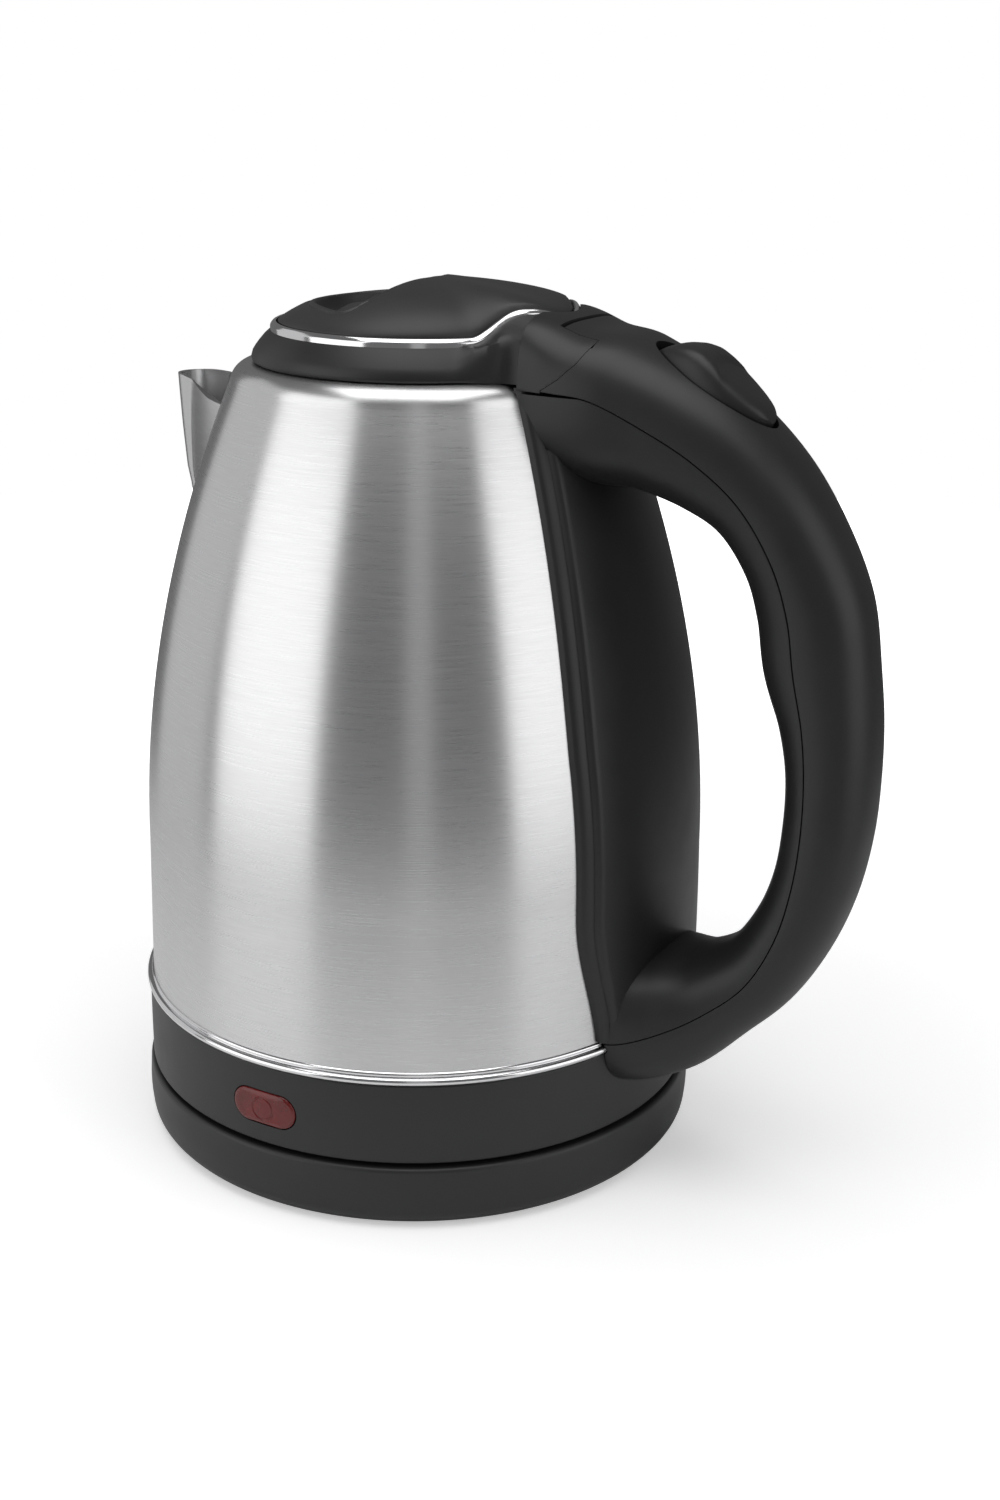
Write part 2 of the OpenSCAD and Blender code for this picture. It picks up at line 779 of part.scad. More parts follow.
// Where the trim climbs over the root, a skirt carries it down to the collar's ring
module trim_seat() {
    loop_loft([
        for (i = [0:71])
            let (
                a = -i * 5,
                front = ramp((abs(wrap(a)) - 28) / 10),
                top = mix(-0.5, -trim_h, front),
                far = mix(trim_far + 0.7, trim_far, front)
            )
            [edge_point(a, -1, -9), edge_point(a, 5.3, -9), edge_point(a, far, top), edge_point(a, -1, top)]
    ]);
}
module collar() {
    color([0.15, 0.15, 0.155]) skin() difference() {
        union() {
            collar_ring();
            collar_root();
            trim_seat();
        }
        translate([0, 0, 200]) cylinder(r = collar_inner_r, h = 60);
        lid_well(221.4);
        edge_band(lid_gap - 0.3, trim_far + 0.05, -trim_h - 0.1, 9);
        translate([collar_inner_r - 2, -hinge_post_half_w - 0.05, hinge_post_foot_z - 0.1])
            cube([hinge_x + 2.4 - collar_inner_r + 2, 2 * hinge_post_half_w + 0.1, 20]);
    }
}

module trim_ring() {
    color([0.86, 0.86, 0.88]) skin() edge_band(lid_gap, trim_far, -trim_h, 0);
}

module at_hinge() {
    translate([hinge_x, 0, hinge_z]) rotate([90, 0, 0]) children();
}
module lid_hinge_pin() {
    color([0.7, 0.7, 0.72]) at_hinge() cylinder(r = hinge_pin_r, h = 2 * hinge_half_w, center = true);
}

// The post on the collar that holds the middle of the hinge pin
module hinge_post() {
    color([0.15, 0.15, 0.155]) at_hinge() difference() {
        union() {
            cylinder(r = hinge_knuckle_r, h = 2 * hinge_post_half_w, center = true);
            linear_extrude(height = 2 * hinge_post_half_w, center = true) polygon([
                [-0.8, hinge_post_foot_z - hinge_z], [2.2, hinge_post_foot_z - hinge_z], [2.2, -10],
                [-0.3, -7.5], [-0.3, -0.9], [-1, -0.5], [-1.15, -1.3], [-2.1, -5], [-2.1, -11]
            ]);
        }
        cylinder(r = hinge_pin_r, h = 20, center = true);
    }
}

// Two knuckles on the lid, one each side of the post
module lid_knuckles() {
    knuckle_w = hinge_half_w - hinge_post_half_w - 0.7;
    knuckle_y = hinge_post_half_w + 0.5 + knuckle_w / 2;
    color([0.2, 0.2, 0.205]) for (s = [-1, 1])
        translate([0, s * knuckle_y, 0]) at_hinge() difference() {
            union() {
                cylinder(r = hinge_knuckle_r, h = knuckle_w, center = true);
                linear_extrude(height = knuckle_w, center = true) polygon([
                    [0, -1.1], [-1.15, 0], [-lid_arm, 0], [-lid_arm, -1.6], [-1.6, -2]
                ]);
            }
            cylinder(r = hinge_pin_r + pin_play, h = 20, center = true);
        }
}

// ---- lid ----

function crown(f, a) = pow(1 - pow(f, 1.75 + 0.25 * cos(a)), 0.72 - 0.16 * cos(a));
function lid_surface(f, a, inset) =
    let (r = f * edge_r(a, -inset))
    [r * cos(a), r * sin(a), mix(edge_z(a), lid_top, crown(f, a)) - inset];
module lid_dome(inset, low_z) {
    steps = 9;
    sides = 60;
    loft([
        [for (i = [0:sides - 1]) let (p = lid_surface(1, i * 6, inset)) [p[0], p[1], low_z]],
        for (k = [0:steps]) [for (i = [0:sides - 1]) lid_surface(1 - 0.99 * k / steps, i * 6, inset)]
    ]);
}

function dome_at(x, y) =
    let (a = atan2(y, x))
    mix(edge_z(a), lid_top, crown(min(1, norm([x, y]) / edge_r(a, 0)), a));

// The finger recess in the lid's front, a crescent whose rear edge is the ridge of the hump
module recess(grow) {
    ends = len(RECESS) - 1;
    edge = concat([for (p = RECESS) [p[0], -p[1]]], [for (i = [ends - 1:-1:1]) RECESS[i]]);
    spread = 1 + grow / 20;
    function inward(p, h, z) = [
        recess_mid_x + (p[0] - recess_mid_x) * spread * (1 - h), p[1] * spread * (1 - h), z
    ];
    function sunk(p, h, depth) =
        let (q = inward(p, h, 0)) [q[0], q[1], dome_at(q[0], q[1]) - depth - grow];
    loft([
        [for (p = edge) inward(p, 0.8, recess_floor_z - grow)],
        [for (p = edge) sunk(p, 0.35, recess_depth)],
        [for (p = edge) sunk(p, 0.12, recess_depth * 0.5)],
        [for (p = edge) sunk(p, 0, 0)],
        [for (p = edge) inward(p, 0, lid_top + 10)]
    ]);
}
module lid_shell() {
    color([0.2, 0.2, 0.205]) skin() difference() {
        lid_dome(0, 223);
        difference() {
            lid_dome(2, 215);
            recess(1.8);
            around(3, lid_screw_r) translate([0, 0, 217]) cylinder(r = 3, h = 30, $fn = 24);
        }
        around(3, lid_screw_r) translate([0, 0, 210]) cylinder(r = 1.5, h = 13.6, $fn = 24);
        recess(0);
        at_hinge() linear_extrude(height = 2 * hinge_post_half_w + 1, center = true) polygon([
            [-3.2, -22], [-3.2, -5], [-1.5, -1], [-1, -0.25], [0, -0.25], [7, -2.1], [7, -22]
        ]);
        at_hinge() cylinder(r = hinge_knuckle_r + 0.06, h = 2 * hinge_half_w + 0.2, center = true);
        translate([hinge_x - lid_arm - 0.1, -hinge_half_w - 0.1, hinge_z - 6])
            cube([lid_arm + 0.8, 2 * hinge_half_w + 0.2, 6]);
    }
}

module lid_liner() {
    color([0.75, 0.75, 0.76]) difference() {
        rotate_extrude() polygon([
            [0, lid_front_seat_z], [liner_r - 0.6, lid_front_seat_z], [liner_r, lid_front_seat_z + 0.6],
            [liner_r, 222.2], [35.4, 222.2], [35.4, 222.98], [liner_r - 1.2, 222.98],
            [liner_r - 1.2, lid_front_seat_z + 1.4], [0, lid_front_seat_z + 1.4]
        ]);
        around(3, lid_screw_r) cylinder(r = 1.5, h = 300);
    }
}

module lid_seal() {
    color([0.7, 0.7, 0.68]) rotate_extrude() polygon([
        [liner_r + 0.05, 215.6], [35.4, 215.2], [35.4, 216.2], [34.4, 217], [34.2, 218.4],
        [liner_r + 0.05, 218.4]
    ]);
}

module lid_screws() {
    color([0.62, 0.62, 0.64]) around(3, lid_screw_r)
        translate([0, 0, lid_front_seat_z - 1.6]) screw(1.4, 2.6, 10);
}

// ---- steam switch ----

module steam_tube() {
    color([0.8, 0.8, 0.76]) translate([46.6, 0, steam_z]) rotate([0, 90, 0]) difference() {
        cylinder(r = 4, h = 14);
        translate([0, 0, -1]) cylinder(r = 2.8, h = 30);
    }
}

module steam_switch() {
    color([0.88, 0.88, 0.85]) at_rocker() difference() {
        union() {
            translate([-14, -8, -13]) cube([28, 16, 4]);
            for (s = [-1, 1]) translate([-3, s * 7 - 1, -9.5]) cube([6, 2, 12]);
            for (s = [-1, 1]) translate([trip_x - 1.8, s * 5.2 - 0.7, -9.5]) cube([3.6, 1.4, 4.3]);
        }
        rotate([90, 0, 0]) cylinder(r = rocker_pin_r + 0.02, h = 40, center = true);
        translate([trip_x, 0, trip_z]) rotate([90, 0, 0])
            cylinder(r = trip_pin_r + pin_play, h = 11.8, center = true);
    }
}

module steam_bimetal() {
    color([0.7, 0.62, 0.5]) at_rocker()
        translate([-17, 0, -17]) rotate([0, 80, 0]) cylinder(r = 5.5, h = 0.6);
}

module rocker_pin() {
    color([0.7, 0.7, 0.72]) at_rocker() rotate([90, 0, 0]) cylinder(r = rocker_pin_r, h = 16, center = true);
}

module rocker_window(grow) {
    intersection() {
        translate([0, 0, -3]) scale([1, (rocker_half_w + grow) / (rocker_half_l + grow), 1])
            cylinder(r = rocker_half_l + grow, h = 20);
        cube([80, 60, 60], center = true);
    }
}
module rocker_switch() {
    color([0.16, 0.16, 0.165]) at_rocker() difference() {
        intersection() {
            scale([1, rocker_half_w / rocker_half_l, 1])
                translate([0, 0, -4]) cylinder(r = rocker_half_l, h = 20);
            side_cut([
                [-17.4, -1], [-15, 3.5], [-11, 6.4], [-7, 8.3], [-3.4, 8.8], [-0.4, 7.6], [4, 5.6], [10, 4.2],
                [15, 3.2], [17.4, 2], [17.4, -1], [12, -3], [-12, -3]
            ], 40);
        }
        for (s = [-1, 1]) translate([-3.5, s * 7 - 1.3, -5]) cube([7, 2.6, 8.4]);
        rotate([90, 0, 0]) cylinder(r = rocker_pin_r + pin_play, h = 40, center = true);
    }
}

// The lever between the bimetal disc and the rocker, with its own pin
module trip_lever() {
    color([0.85, 0.3, 0.2]) at_rocker() {
        translate([trip_x, 0, trip_z]) rotate([90, 0, 0]) cylinder(r = trip_pin_r, h = 11.6, center = true);
        translate([trip_x - 9, -3.6, trip_z - 0.7]) cube([19, 7.2, 1.4]);
    }
}

base_cover();
base_plate();
base_feet();
base_screws();
base_connector();
base_contacts();
cord_clamp();
kettle_socket();
socket_contacts();
bottom_cover();
bottom_screws();
lower_housing();
seam_ring();
steel_body();
spout();
spout_filter();
boiling_plate();
heat_spreader();
heating_element();
element_pins();
control_unit();
bimetal_discs();
indicator_lens();
indicator_lamp();
lamp_holder();
lamp_leads();
handle_outer();
handle_inner();
handle_screws();
switch_leads();
collar();
trim_ring();
hinge_post();
lid_hinge_pin();
lid_shell();
lid_knuckles();
lid_liner();
lid_seal();
lid_screws();
steam_tube();
steam_switch();
steam_bimetal();
rocker_pin();
rocker_switch();
trip_lever();
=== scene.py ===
import json
import math

import bmesh
import bpy
import numpy as np
from mathutils import Matrix, Vector


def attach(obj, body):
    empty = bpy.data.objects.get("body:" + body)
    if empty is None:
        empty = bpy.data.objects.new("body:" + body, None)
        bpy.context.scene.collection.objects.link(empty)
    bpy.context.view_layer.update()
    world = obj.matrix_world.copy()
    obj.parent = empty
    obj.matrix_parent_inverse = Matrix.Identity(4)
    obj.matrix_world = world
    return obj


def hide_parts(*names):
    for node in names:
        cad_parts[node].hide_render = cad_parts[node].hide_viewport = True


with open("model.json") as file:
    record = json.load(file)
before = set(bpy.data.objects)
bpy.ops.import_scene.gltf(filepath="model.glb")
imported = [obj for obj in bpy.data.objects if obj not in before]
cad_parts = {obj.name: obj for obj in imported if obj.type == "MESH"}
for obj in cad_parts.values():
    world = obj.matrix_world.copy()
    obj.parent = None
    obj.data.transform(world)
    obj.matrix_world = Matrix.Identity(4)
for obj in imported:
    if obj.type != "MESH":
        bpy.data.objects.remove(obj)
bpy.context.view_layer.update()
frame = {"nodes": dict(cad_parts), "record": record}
scene = bpy.context.scene
MM = 0.001
AZIMUTH = 32.0  # the camera's, in degrees from -Y towards +X
BODY_OF = {n: b for b, ns in frame["record"]["behaviour"]["bodies"].items() for n in ns}


# ---- camera: the photograph's viewing angle ----


def aim_camera():
    azimuth, pitch = math.radians(AZIMUTH), math.radians(19.02)
    yaw, roll = -0.0423, math.radians(0.62)
    distance, height = 0.5405, 0.2932
    turn = Matrix.Rotation(azimuth, 3, "Z")
    right = Vector((math.cos(yaw), math.sin(yaw), 0))
    ahead = Vector((-math.sin(yaw), math.cos(yaw), 0))
    forward = math.cos(pitch) * ahead - math.sin(pitch) * Vector((0, 0, 1))
    up = math.sin(pitch) * ahead + math.cos(pitch) * Vector((0, 0, 1))
    side = math.cos(roll) * right + math.sin(roll) * up
    top = math.cos(roll) * up - math.sin(roll) * right
    data = bpy.data.cameras.new("camera")
    data.sensor_fit = "VERTICAL"
    data.sensor_height = 36
    data.sensor_width = 24
    data.lens = 48.38
    data.clip_start = 0.01
    cam = bpy.data.objects.new("camera", data)
    scene.collection.objects.link(cam)
    m = Matrix((side, top, -forward)).transposed()
    cam.matrix_world = (turn @ m).to_4x4()
    cam.location = turn @ Vector((0, -distance, height))
    scene.camera = cam


aim_camera()


# ---- shared sizes in millimetres, which follow the CAD ----

BODY_R = 76.2  # the steel wall at LEAN_Z, above which it leans in
LEAN_Z = 85
BODY_TOP = 216.4
SHEET = 0.8
SHOULDER_R = 5.6
MOUTH_R = 39.3
HOUSING_R = 78.1
HOUSING_TOP = 42.0
BEAD_R = 1.05  # the seam ring's round bead, and where its middle lies
BEAD_MID_R = HOUSING_R - 0.35
BEAD_Z = 43.2
BASE_R = 79.3
BASE_H = 18.0
DECK_Z = 16.6
INLET_R = 3.8  # the hole for the cord, through the base's rim
INLET_Z = 9.0
KETTLE_Z = 19.2
PLATE_R = 74.0
SPOUT_REACH = 79.3
SPOUT_FOOT = 122
SPOUT_RISE = 85
SPOUT_Z = 207.2
SPOUT_HALF_W = 28
LID_TOP = 238.9
LID_EDGE_Z = 227.0
LID_R = 36.8
LID_NOSE = 7.6
LID_GAP = 0.5
WELL_GAP = LID_GAP + 0.05  # from the lid's edge to the wall of the well it closes
WELL_Z = 220.8
TRIM_SEAT = 2.12  # from the lid's edge to the outside of the trim's seat
TRIM_DROP = 2.5  # from the trim's crest down to its seat
COLLAR_BORE = 37.6
LAMP_Z = 29.8
LENS_W = 20.2
LENS_H = 10.1
PANEL_LIFT = 3.9
WALL = 2.2
SEAM = 0.18  # the gap between the handle's two shells
LIP = 0.28  # how far the edges at that gap are eased
TUNNEL_R = 4.3  # the way for the leads from the collar into the handle
TUNNEL_Z = 210
HINGE = (38.0, 233.0)
ROCKER = (86.0, 216.4)
ROCKER_TILT = 25.3
ROOT_X = 43.0  # where the collar's ring ends and the handle's root begins
CUT_Y = 60  # half the width of the cutters that pass right across the object

# sections down the handle: x, z, half depth, half width, seam shift, squareness
HANDLE = np.array(
    [
        [30, 214, 20.5, 20.5, 2, 4],
        [42, 213, 20, 23.2, 2.5, 3.8],
        [52, 211.5, 18.3, 24, 3.6, 3.2],
        [62, 209.5, 19, 23.5, 4.6, 2.7],
        [74, 206.5, 17, 21, 2.4, 2.5],
        [88, 200.5, 15.3, 18.5, 0.8, 2.4],
        [100.5, 191.5, 13.5, 16.3, -0.4, 2.35],
        [110, 178.5, 13.3, 15, -1.2, 2.3],
        [115.6, 165, 14.2, 14.3, -2, 2.3],
        [118.2, 151, 14.3, 14, -2.3, 2.3],
        [121.6, 137, 12.6, 14, -2.6, 2.3],
        [123.2, 123, 11.4, 14, -2.8, 2.3],
        [122.9, 108, 11, 14, -2.6, 2.3],
        [120.6, 93, 10.6, 14, -2, 2.3],
        [115.6, 79, 10.6, 14.3, -0.6, 2.3],
        [107.5, 65.8, 11.2, 15.2, 0.6, 2.35],
        [97, 56.8, 13, 18, 1.2, 2.4],
        [87, 51, 16.5, 22, 1.5, 2.6],
        [77, 47.5, 18, 25.5, 2, 2.8],
        [68, 46, 18, 26, 2, 2.8],
    ],
    float,
)
# x, z of the joint between the collar and the handle's outer shell
ROOT_LINE = [(50, 215.6), (54.5, 218.6), (58.6, 222.6), (60.6, 227), (60.6, 250)]


def mix(a, b, t):
    return a + (b - a) * t


def ramp(t):
    u = min(1.0, max(0.0, t))
    return u * u * (3 - 2 * u)


def steel_r(z):
    """Outside radius of the steel wall at a height."""
    if z < LEAN_Z:
        return BODY_R + (LEAN_Z - z) * 0.02
    return BODY_R - 0.00165 * (z - LEAN_Z) ** 2


def polar(r, a):
    """The point at a radius and an angle in degrees."""
    return r * math.cos(math.radians(a)), r * math.sin(math.radians(a))


def arc(cx, cz, r, a0, a1, n):
    points = [polar(r, mix(a0, a1, i / n)) for i in range(n + 1)]
    return [(cx + x, cz + z) for x, z in points]


def shoulder(grow, n):
    """The rounded edge between the steel wall and the body's top."""
    return arc(steel_r(212) - 5.4, BODY_TOP - SHOULDER_R, SHOULDER_R + grow, 12, 90, n)


def spline(p0, p1, p2, p3, t):
    """The point a share t of the way from p1 to p2, on a smooth curve through all four."""
    bend = 2 * p0 - 5 * p1 + 4 * p2 - p3
    twist = 3 * p1 - p0 - 3 * p2 + p3
    return 0.5 * (2 * p1 + (p2 - p0) * t + bend * t * t + twist * t**3)


def evenly(u, w, n):
    """A polyline's points again, spaced evenly from its start to its end."""
    length = np.concatenate([[0], np.cumsum(np.hypot(np.diff(u), np.diff(w)))])
    even = np.linspace(0, length[-1], n)
    return np.interp(even, length, u), np.interp(even, length, w)


def along(s):
    """The handle's section at a place between the rows of HANDLE."""
    last = len(HANDLE) - 1
    i = min(int(s), last - 1)
    return spline(HANDLE[max(i - 1, 0)], HANDLE[i], HANDLE[i + 1], HANDLE[min(i + 2, last)], s - i)


def nose_share(a):
    """How much of the lid's nose, which points at the handle, there is at an angle."""
    return math.cos(math.radians(a * 90 / 34)) ** 2 if abs(a) < 34 else 0.0


def wrap(a):
    return (a + 180) % 360 - 180


def edge_r(a, grow=0.0):
    """Radius of the lid's edge at an angle, with its nose over the hinge."""
    return LID_R + grow + LID_NOSE * nose_share(wrap(a))


def edge_z(a):
    """Height of the lid's edge at an angle: it climbs towards the hinge."""
    b = abs(wrap(a))
    return LID_EDGE_Z + 6.6 * ramp((38 - b) / 20) - 2.2 * (1 - ramp(b / 16))


def dome_z(x, y):
    """Height of the lid, without its finger recess."""
    a = math.degrees(math.atan2(y, x))
    f = min(1.0, math.hypot(x, y) / edge_r(a))
    c = math.cos(math.radians(a))
    crown = max(0.0, 1 - f ** (1.8 + 0.2 * c)) ** (0.72 - 0.16 * c)
    return mix(edge_z(a), LID_TOP, crown)


def rounded(points, n=4):
    """A closed outline of (x, z) or (x, z, corner radius) with its marked corners rounded."""
    out = []
    count = len(points)
    for i, p in enumerate(points):
        if len(p) < 3 or p[2] == 0:
            out.append((p[0], p[1]))
            continue
        c = Vector(p[:2])
        a = Vector(points[i - 1][:2]) - c
        b = Vector(points[(i + 1) % count][:2]) - c
        reach = min(p[2], a.length * 0.48, b.length * 0.48)
        start, end = c + a.normalized() * reach, c + b.normalized() * reach
        for k in range(n + 1):
            t = k / n
            q = (1 - t) ** 2 * start + 2 * t * (1 - t) * c + t * t * end
            out.append((q.x, q.y))
    return out


# ---- mesh builders ----


def to_object(name, verts, faces):
    mesh = bpy.data.meshes.new(name)
    mesh.from_pydata([(x * MM, y * MM, z * MM) for x, y, z in verts], [], faces)
    bm = bmesh.new()
    bm.from_mesh(mesh)
    bmesh.ops.remove_doubles(bm, verts=bm.verts, dist=1e-7)
    bmesh.ops.recalc_face_normals(bm, faces=bm.faces)
    bm.to_mesh(mesh)
    bm.free()
    obj = bpy.data.objects.new(name, mesh)
    scene.collection.objects.link(obj)
    return obj


def loft(name, rings, closed=False):
    """Joins rings of equal length. The two ends are capped, or joined to each other if closed."""
    n, m = len(rings[0]), len(rings)
    faces = []
    for k in range(m if closed else m - 1):
        k2 = (k + 1) % m
        for i in range(n):
            j = (i + 1) % n
            faces.append((k * n + i, k * n + j, k2 * n + j, k2 * n + i))
    if not closed:
        faces.append(tuple(range(n)))
        faces.append(tuple((m - 1) * n + i for i in reversed(range(n))))
    return to_object(name, [p for r in rings for p in r], faces)


def lathe(name, outline, n=256):
    """A closed outline of (radius, z), turned round the Z axis."""
    rings = []
    for k in range(n):
        a = 2 * math.pi * k / n
        rings.append([(r * math.cos(a), r * math.sin(a), z) for r, z in outline])
    return loft(name, rings, closed=True)


def prism(name, outline, half_width):
    """An outline in the X-Z plane, thickened across Y."""
    return loft(name, [[(x, y, z) for x, z in outline] for y in (-half_width, half_width)])


def block(name, low, high):
    (x0, y0, z0), (x1, y1, z1) = low, high
    return loft(name, [[(x0, y0, z), (x1, y0, z), (x1, y1, z), (x0, y1, z)] for z in (z0, z1)])


def apply_modifiers(obj):
    bpy.context.view_layer.update()
    made = bpy.data.meshes.new_from_object(obj.evaluated_get(bpy.context.evaluated_depsgraph_get()))
    obj.modifiers.clear()
    obj.data = made


def carve(obj, *cutters):
    for cutter in cutters:
        mod = obj.modifiers.new("cut", "BOOLEAN")
        mod.operation = "DIFFERENCE"
        mod.solver = "EXACT"
        mod.object = cutter
        apply_modifiers(obj)


def drop(*objs):
    for o in objs:
        bpy.data.objects.remove(o)


def soften(obj, width, angle):
    """Rounds the edges sharper than an angle."""
    mod = obj.modifiers.new("round", "BEVEL")
    mod.width = width * MM
    mod.segments = 2
    mod.limit_method = "ANGLE"
    mod.angle_limit = math.radians(angle)
    mod.use_clamp_overlap = True
    apply_modifiers(obj)
    return obj


def settle(obj, node, material, angle=32):
    """Shades a finished piece, gives it its material, and lets it stand for its CAD node."""
    mesh = obj.data
    mesh.polygons.foreach_set("use_smooth", [True] * len(mesh.polygons))
    mesh.set_sharp_from_angle(angle=math.radians(angle))
    mesh.materials.clear()
    mesh.materials.append(material)
    mod = obj.modifiers.new("normals", "WEIGHTED_NORMAL")
    mod.keep_sharp = True
    mod.weight = 50
    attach(obj, BODY_OF[node])
    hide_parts(node)


# ---- materials ----


class Look:
    """A procedural material built round one Principled shader."""

    def __init__(self, name, color, roughness, metallic=0.0):
        self.material = bpy.data.materials.new(name)
        self.material.use_nodes = True
        self.tree = self.material.node_tree
        self.shader = self.tree.nodes["Principled BSDF"]
        self.color, self.roughness = color, roughness
        self.shader.inputs["Base Color"].default_value = (*color, 1)
        self.shader.inputs["Roughness"].default_value = roughness
        self.shader.inputs["Metallic"].default_value = metallic
        self.height = None

    def node(self, kind, **values):
        made = self.tree.nodes.new(kind)
        for key, value in values.items():
            setattr(made, key, value)
        return made

    def link(self, a, b):
        self.tree.links.new(a, b)

    def noise(self, scale, stretch=(1, 1, 1), detail=3.0, rough=0.55):
        coords = self.node("ShaderNodeTexCoord")
        mapping = self.node("ShaderNodeMapping")
        mapping.inputs["Scale"].default_value = stretch
        self.link(coords.outputs["Object"], mapping.inputs["Vector"])
        tex = self.node("ShaderNodeTexNoise")
        tex.inputs["Scale"].default_value = scale
        tex.inputs["Detail"].default_value = detail
        tex.inputs["Roughness"].default_value = rough
        self.link(mapping.outputs["Vector"], tex.inputs["Vector"])
        return tex.outputs["Fac"]

    def spread(self, source, low, high, start=0.3, end=0.7):
        """The noise, mapped from its usual range to low..high."""
        m = self.node("ShaderNodeMapRange")
        m.inputs["From Min"].default_value = start
        m.inputs["From Max"].default_value = end
        m.inputs["To Min"].default_value = low
        m.inputs["To Max"].default_value = high
        self.link(source, m.inputs["Value"])
        return m.outputs["Result"]

    def vary_roughness(self, source, amount):
        self.link(
            self.spread(source, max(0.02, self.roughness - amount), self.roughness + amount),
            self.shader.inputs["Roughness"],
        )
        return self

    def vary_color(self, source, low, high):
        blend = self.node("ShaderNodeMix", data_type="RGBA")
        blend.inputs["A"].default_value = (*[c * low for c in self.color], 1)
        blend.inputs["B"].default_value = (*[min(1, c * high) for c in self.color], 1)
        self.link(self.spread(source, 0, 1), blend.inputs["Factor"])
        self.link(blend.outputs["Result"], self.shader.inputs["Base Color"])
        return self

    def bump(self, source, strength, distance_mm):
        b = self.node("ShaderNodeBump")
        b.inputs["Strength"].default_value = strength
        b.inputs["Distance"].default_value = distance_mm * MM
        self.link(source, b.inputs["Height"])
        if self.height is not None:
            self.link(self.height, b.inputs["Normal"])
        self.height = b.outputs["Normal"]
        self.link(self.height, self.shader.inputs["Normal"])
        return self


def moulded(name, color, roughness, grain=2600, relief=0.012):
    look = Look(name, color, roughness)
    fine = look.noise(grain, detail=2)
    broad = look.noise(38, detail=3)
    look.vary_roughness(broad, 0.045)
    look.vary_color(broad, 0.9, 1.12)
    look.bump(fine, 0.35, relief)
    return look.material


def brushed(name, color, roughness, aniso=0.72, relief=0.004):
    """Steel with fine lines that run round the Z axis."""
    look = Look(name, color, roughness, 1.0)
    look.shader.inputs["Anisotropic"].default_value = aniso
    look.shader.inputs["Anisotropic Rotation"].default_value = 0.25
    tangent = look.node("ShaderNodeTangent", direction_type="RADIAL", axis="Z")
    look.link(tangent.outputs["Tangent"], look.shader.inputs["Tangent"])
    lines = look.noise(60, (1, 1, 60), detail=4, rough=0.6)
    hair = look.noise(150, (1, 1, 40), detail=2, rough=0.5)
    look.vary_roughness(lines, 0.03)
    look.vary_color(hair, 0.96, 1.03)
    look.bump(hair, 0.1, relief)
    return look.material


def polished(name, color, roughness):
    look = Look(name, color, roughness, 1.0)
    smear = look.noise(60, (1, 1, 3), detail=3)
    look.vary_roughness(smear, 0.03)
    look.vary_color(smear, 0.95, 1.03)
    look.bump(look.noise(900), 0.08, 0.002)
    return look.material


def lens_red():
    look = Look("red_lens", (0.2, 0.008, 0.006), 0.22)
    look.shader.inputs["Transmission Weight"].default_value = 0.35
    look.shader.inputs["IOR"].default_value = 1.49
    look.shader.inputs["Coat Weight"].default_value = 0.25
    look.shader.inputs["Coat Roughness"].default_value = 0.12
    cloud = look.noise(160, detail=3)
    look.vary_color(cloud, 0.75, 1.25)
    look.vary_roughness(look.noise(700), 0.05)
    look.bump(look.noise(500, detail=1), 0.12, 0.01)
    return look.material


PLASTIC = moulded("black_plastic", (0.018, 0.018, 0.0185), 0.42)
HANDLE_PLASTIC = moulded("handle_plastic", (0.0145, 0.0145, 0.015), 0.44)
LID_PLASTIC = moulded("lid_plastic", (0.026, 0.026, 0.0265), 0.46)
CONNECTOR = moulded("connector_plastic", (0.012, 0.012, 0.012), 0.35, grain=1400)
FOOT = moulded("foot_rubber", (0.03, 0.03, 0.03), 0.8, grain=1800, relief=0.03)
SEAL = moulded("seal_rubber", (0.5, 0.5, 0.47), 0.5, grain=900)
TUBE = moulded("tube_rubber", (0.6, 0.6, 0.56), 0.5, grain=900)
PALE = moulded("pale_plastic", (0.72, 0.71, 0.66), 0.4, grain=1500)
RED = moulded("red_plastic", (0.55, 0.06, 0.04), 0.35, grain=1500)
LEADS = moulded("lead_insulation", (0.66, 0.66, 0.63), 0.4, grain=1200)
STEEL = brushed("brushed_body", (0.74, 0.74, 0.745), 0.29)
SPOUT_STEEL = brushed("spout_steel", (0.72, 0.72, 0.725), 0.24, aniso=0.3, relief=0.001)
SATIN = brushed("satin_steel", (0.66, 0.66, 0.66), 0.3)
BRIGHT = polished("bright_trim", (0.84, 0.84, 0.85), 0.12)
ZINC = polished("screw_steel", (0.58, 0.58, 0.6), 0.3)
BRASS = polished("contact_brass", (0.78, 0.58, 0.27), 0.24)
ALLOY = brushed("heater_aluminium", (0.62, 0.62, 0.62), 0.45, aniso=0.2)
SHEATH = polished("element_sheath", (0.4, 0.4, 0.39), 0.5)
LENS = lens_red()
LAMP = moulded("lamp_glass", (0.85, 0.22, 0.12), 0.15, grain=900)
BY_SLOT = {
    "black_plastic": PLASTIC,
    "handle_plastic": HANDLE_PLASTIC,
    "lid_plastic": LID_PLASTIC,
    "connector_plastic": CONNECTOR,
    "foot_rubber": FOOT,
    "seal_rubber": SEAL,
    "tube_rubber": TUBE,
    "brushed_body": STEEL,
    "satin_steel": SATIN,
    "bright_trim": BRIGHT,
    "screw_steel": ZINC,
    "contact_brass": BRASS,
    "heater_aluminium": ALLOY,
    "element_sheath": SHEATH,
    "pale_plastic": PALE,
    "red_plastic": RED,
    "red_lens": LENS,
    "lamp_glass": LAMP,
    "lead_insulation": LEADS,
}
for part in frame["record"]["subparts"]:
    mesh = frame["nodes"][part["node"]].data
    mesh.materials.clear()
    mesh.materials.append(BY_SLOT[part["material_slot"]])


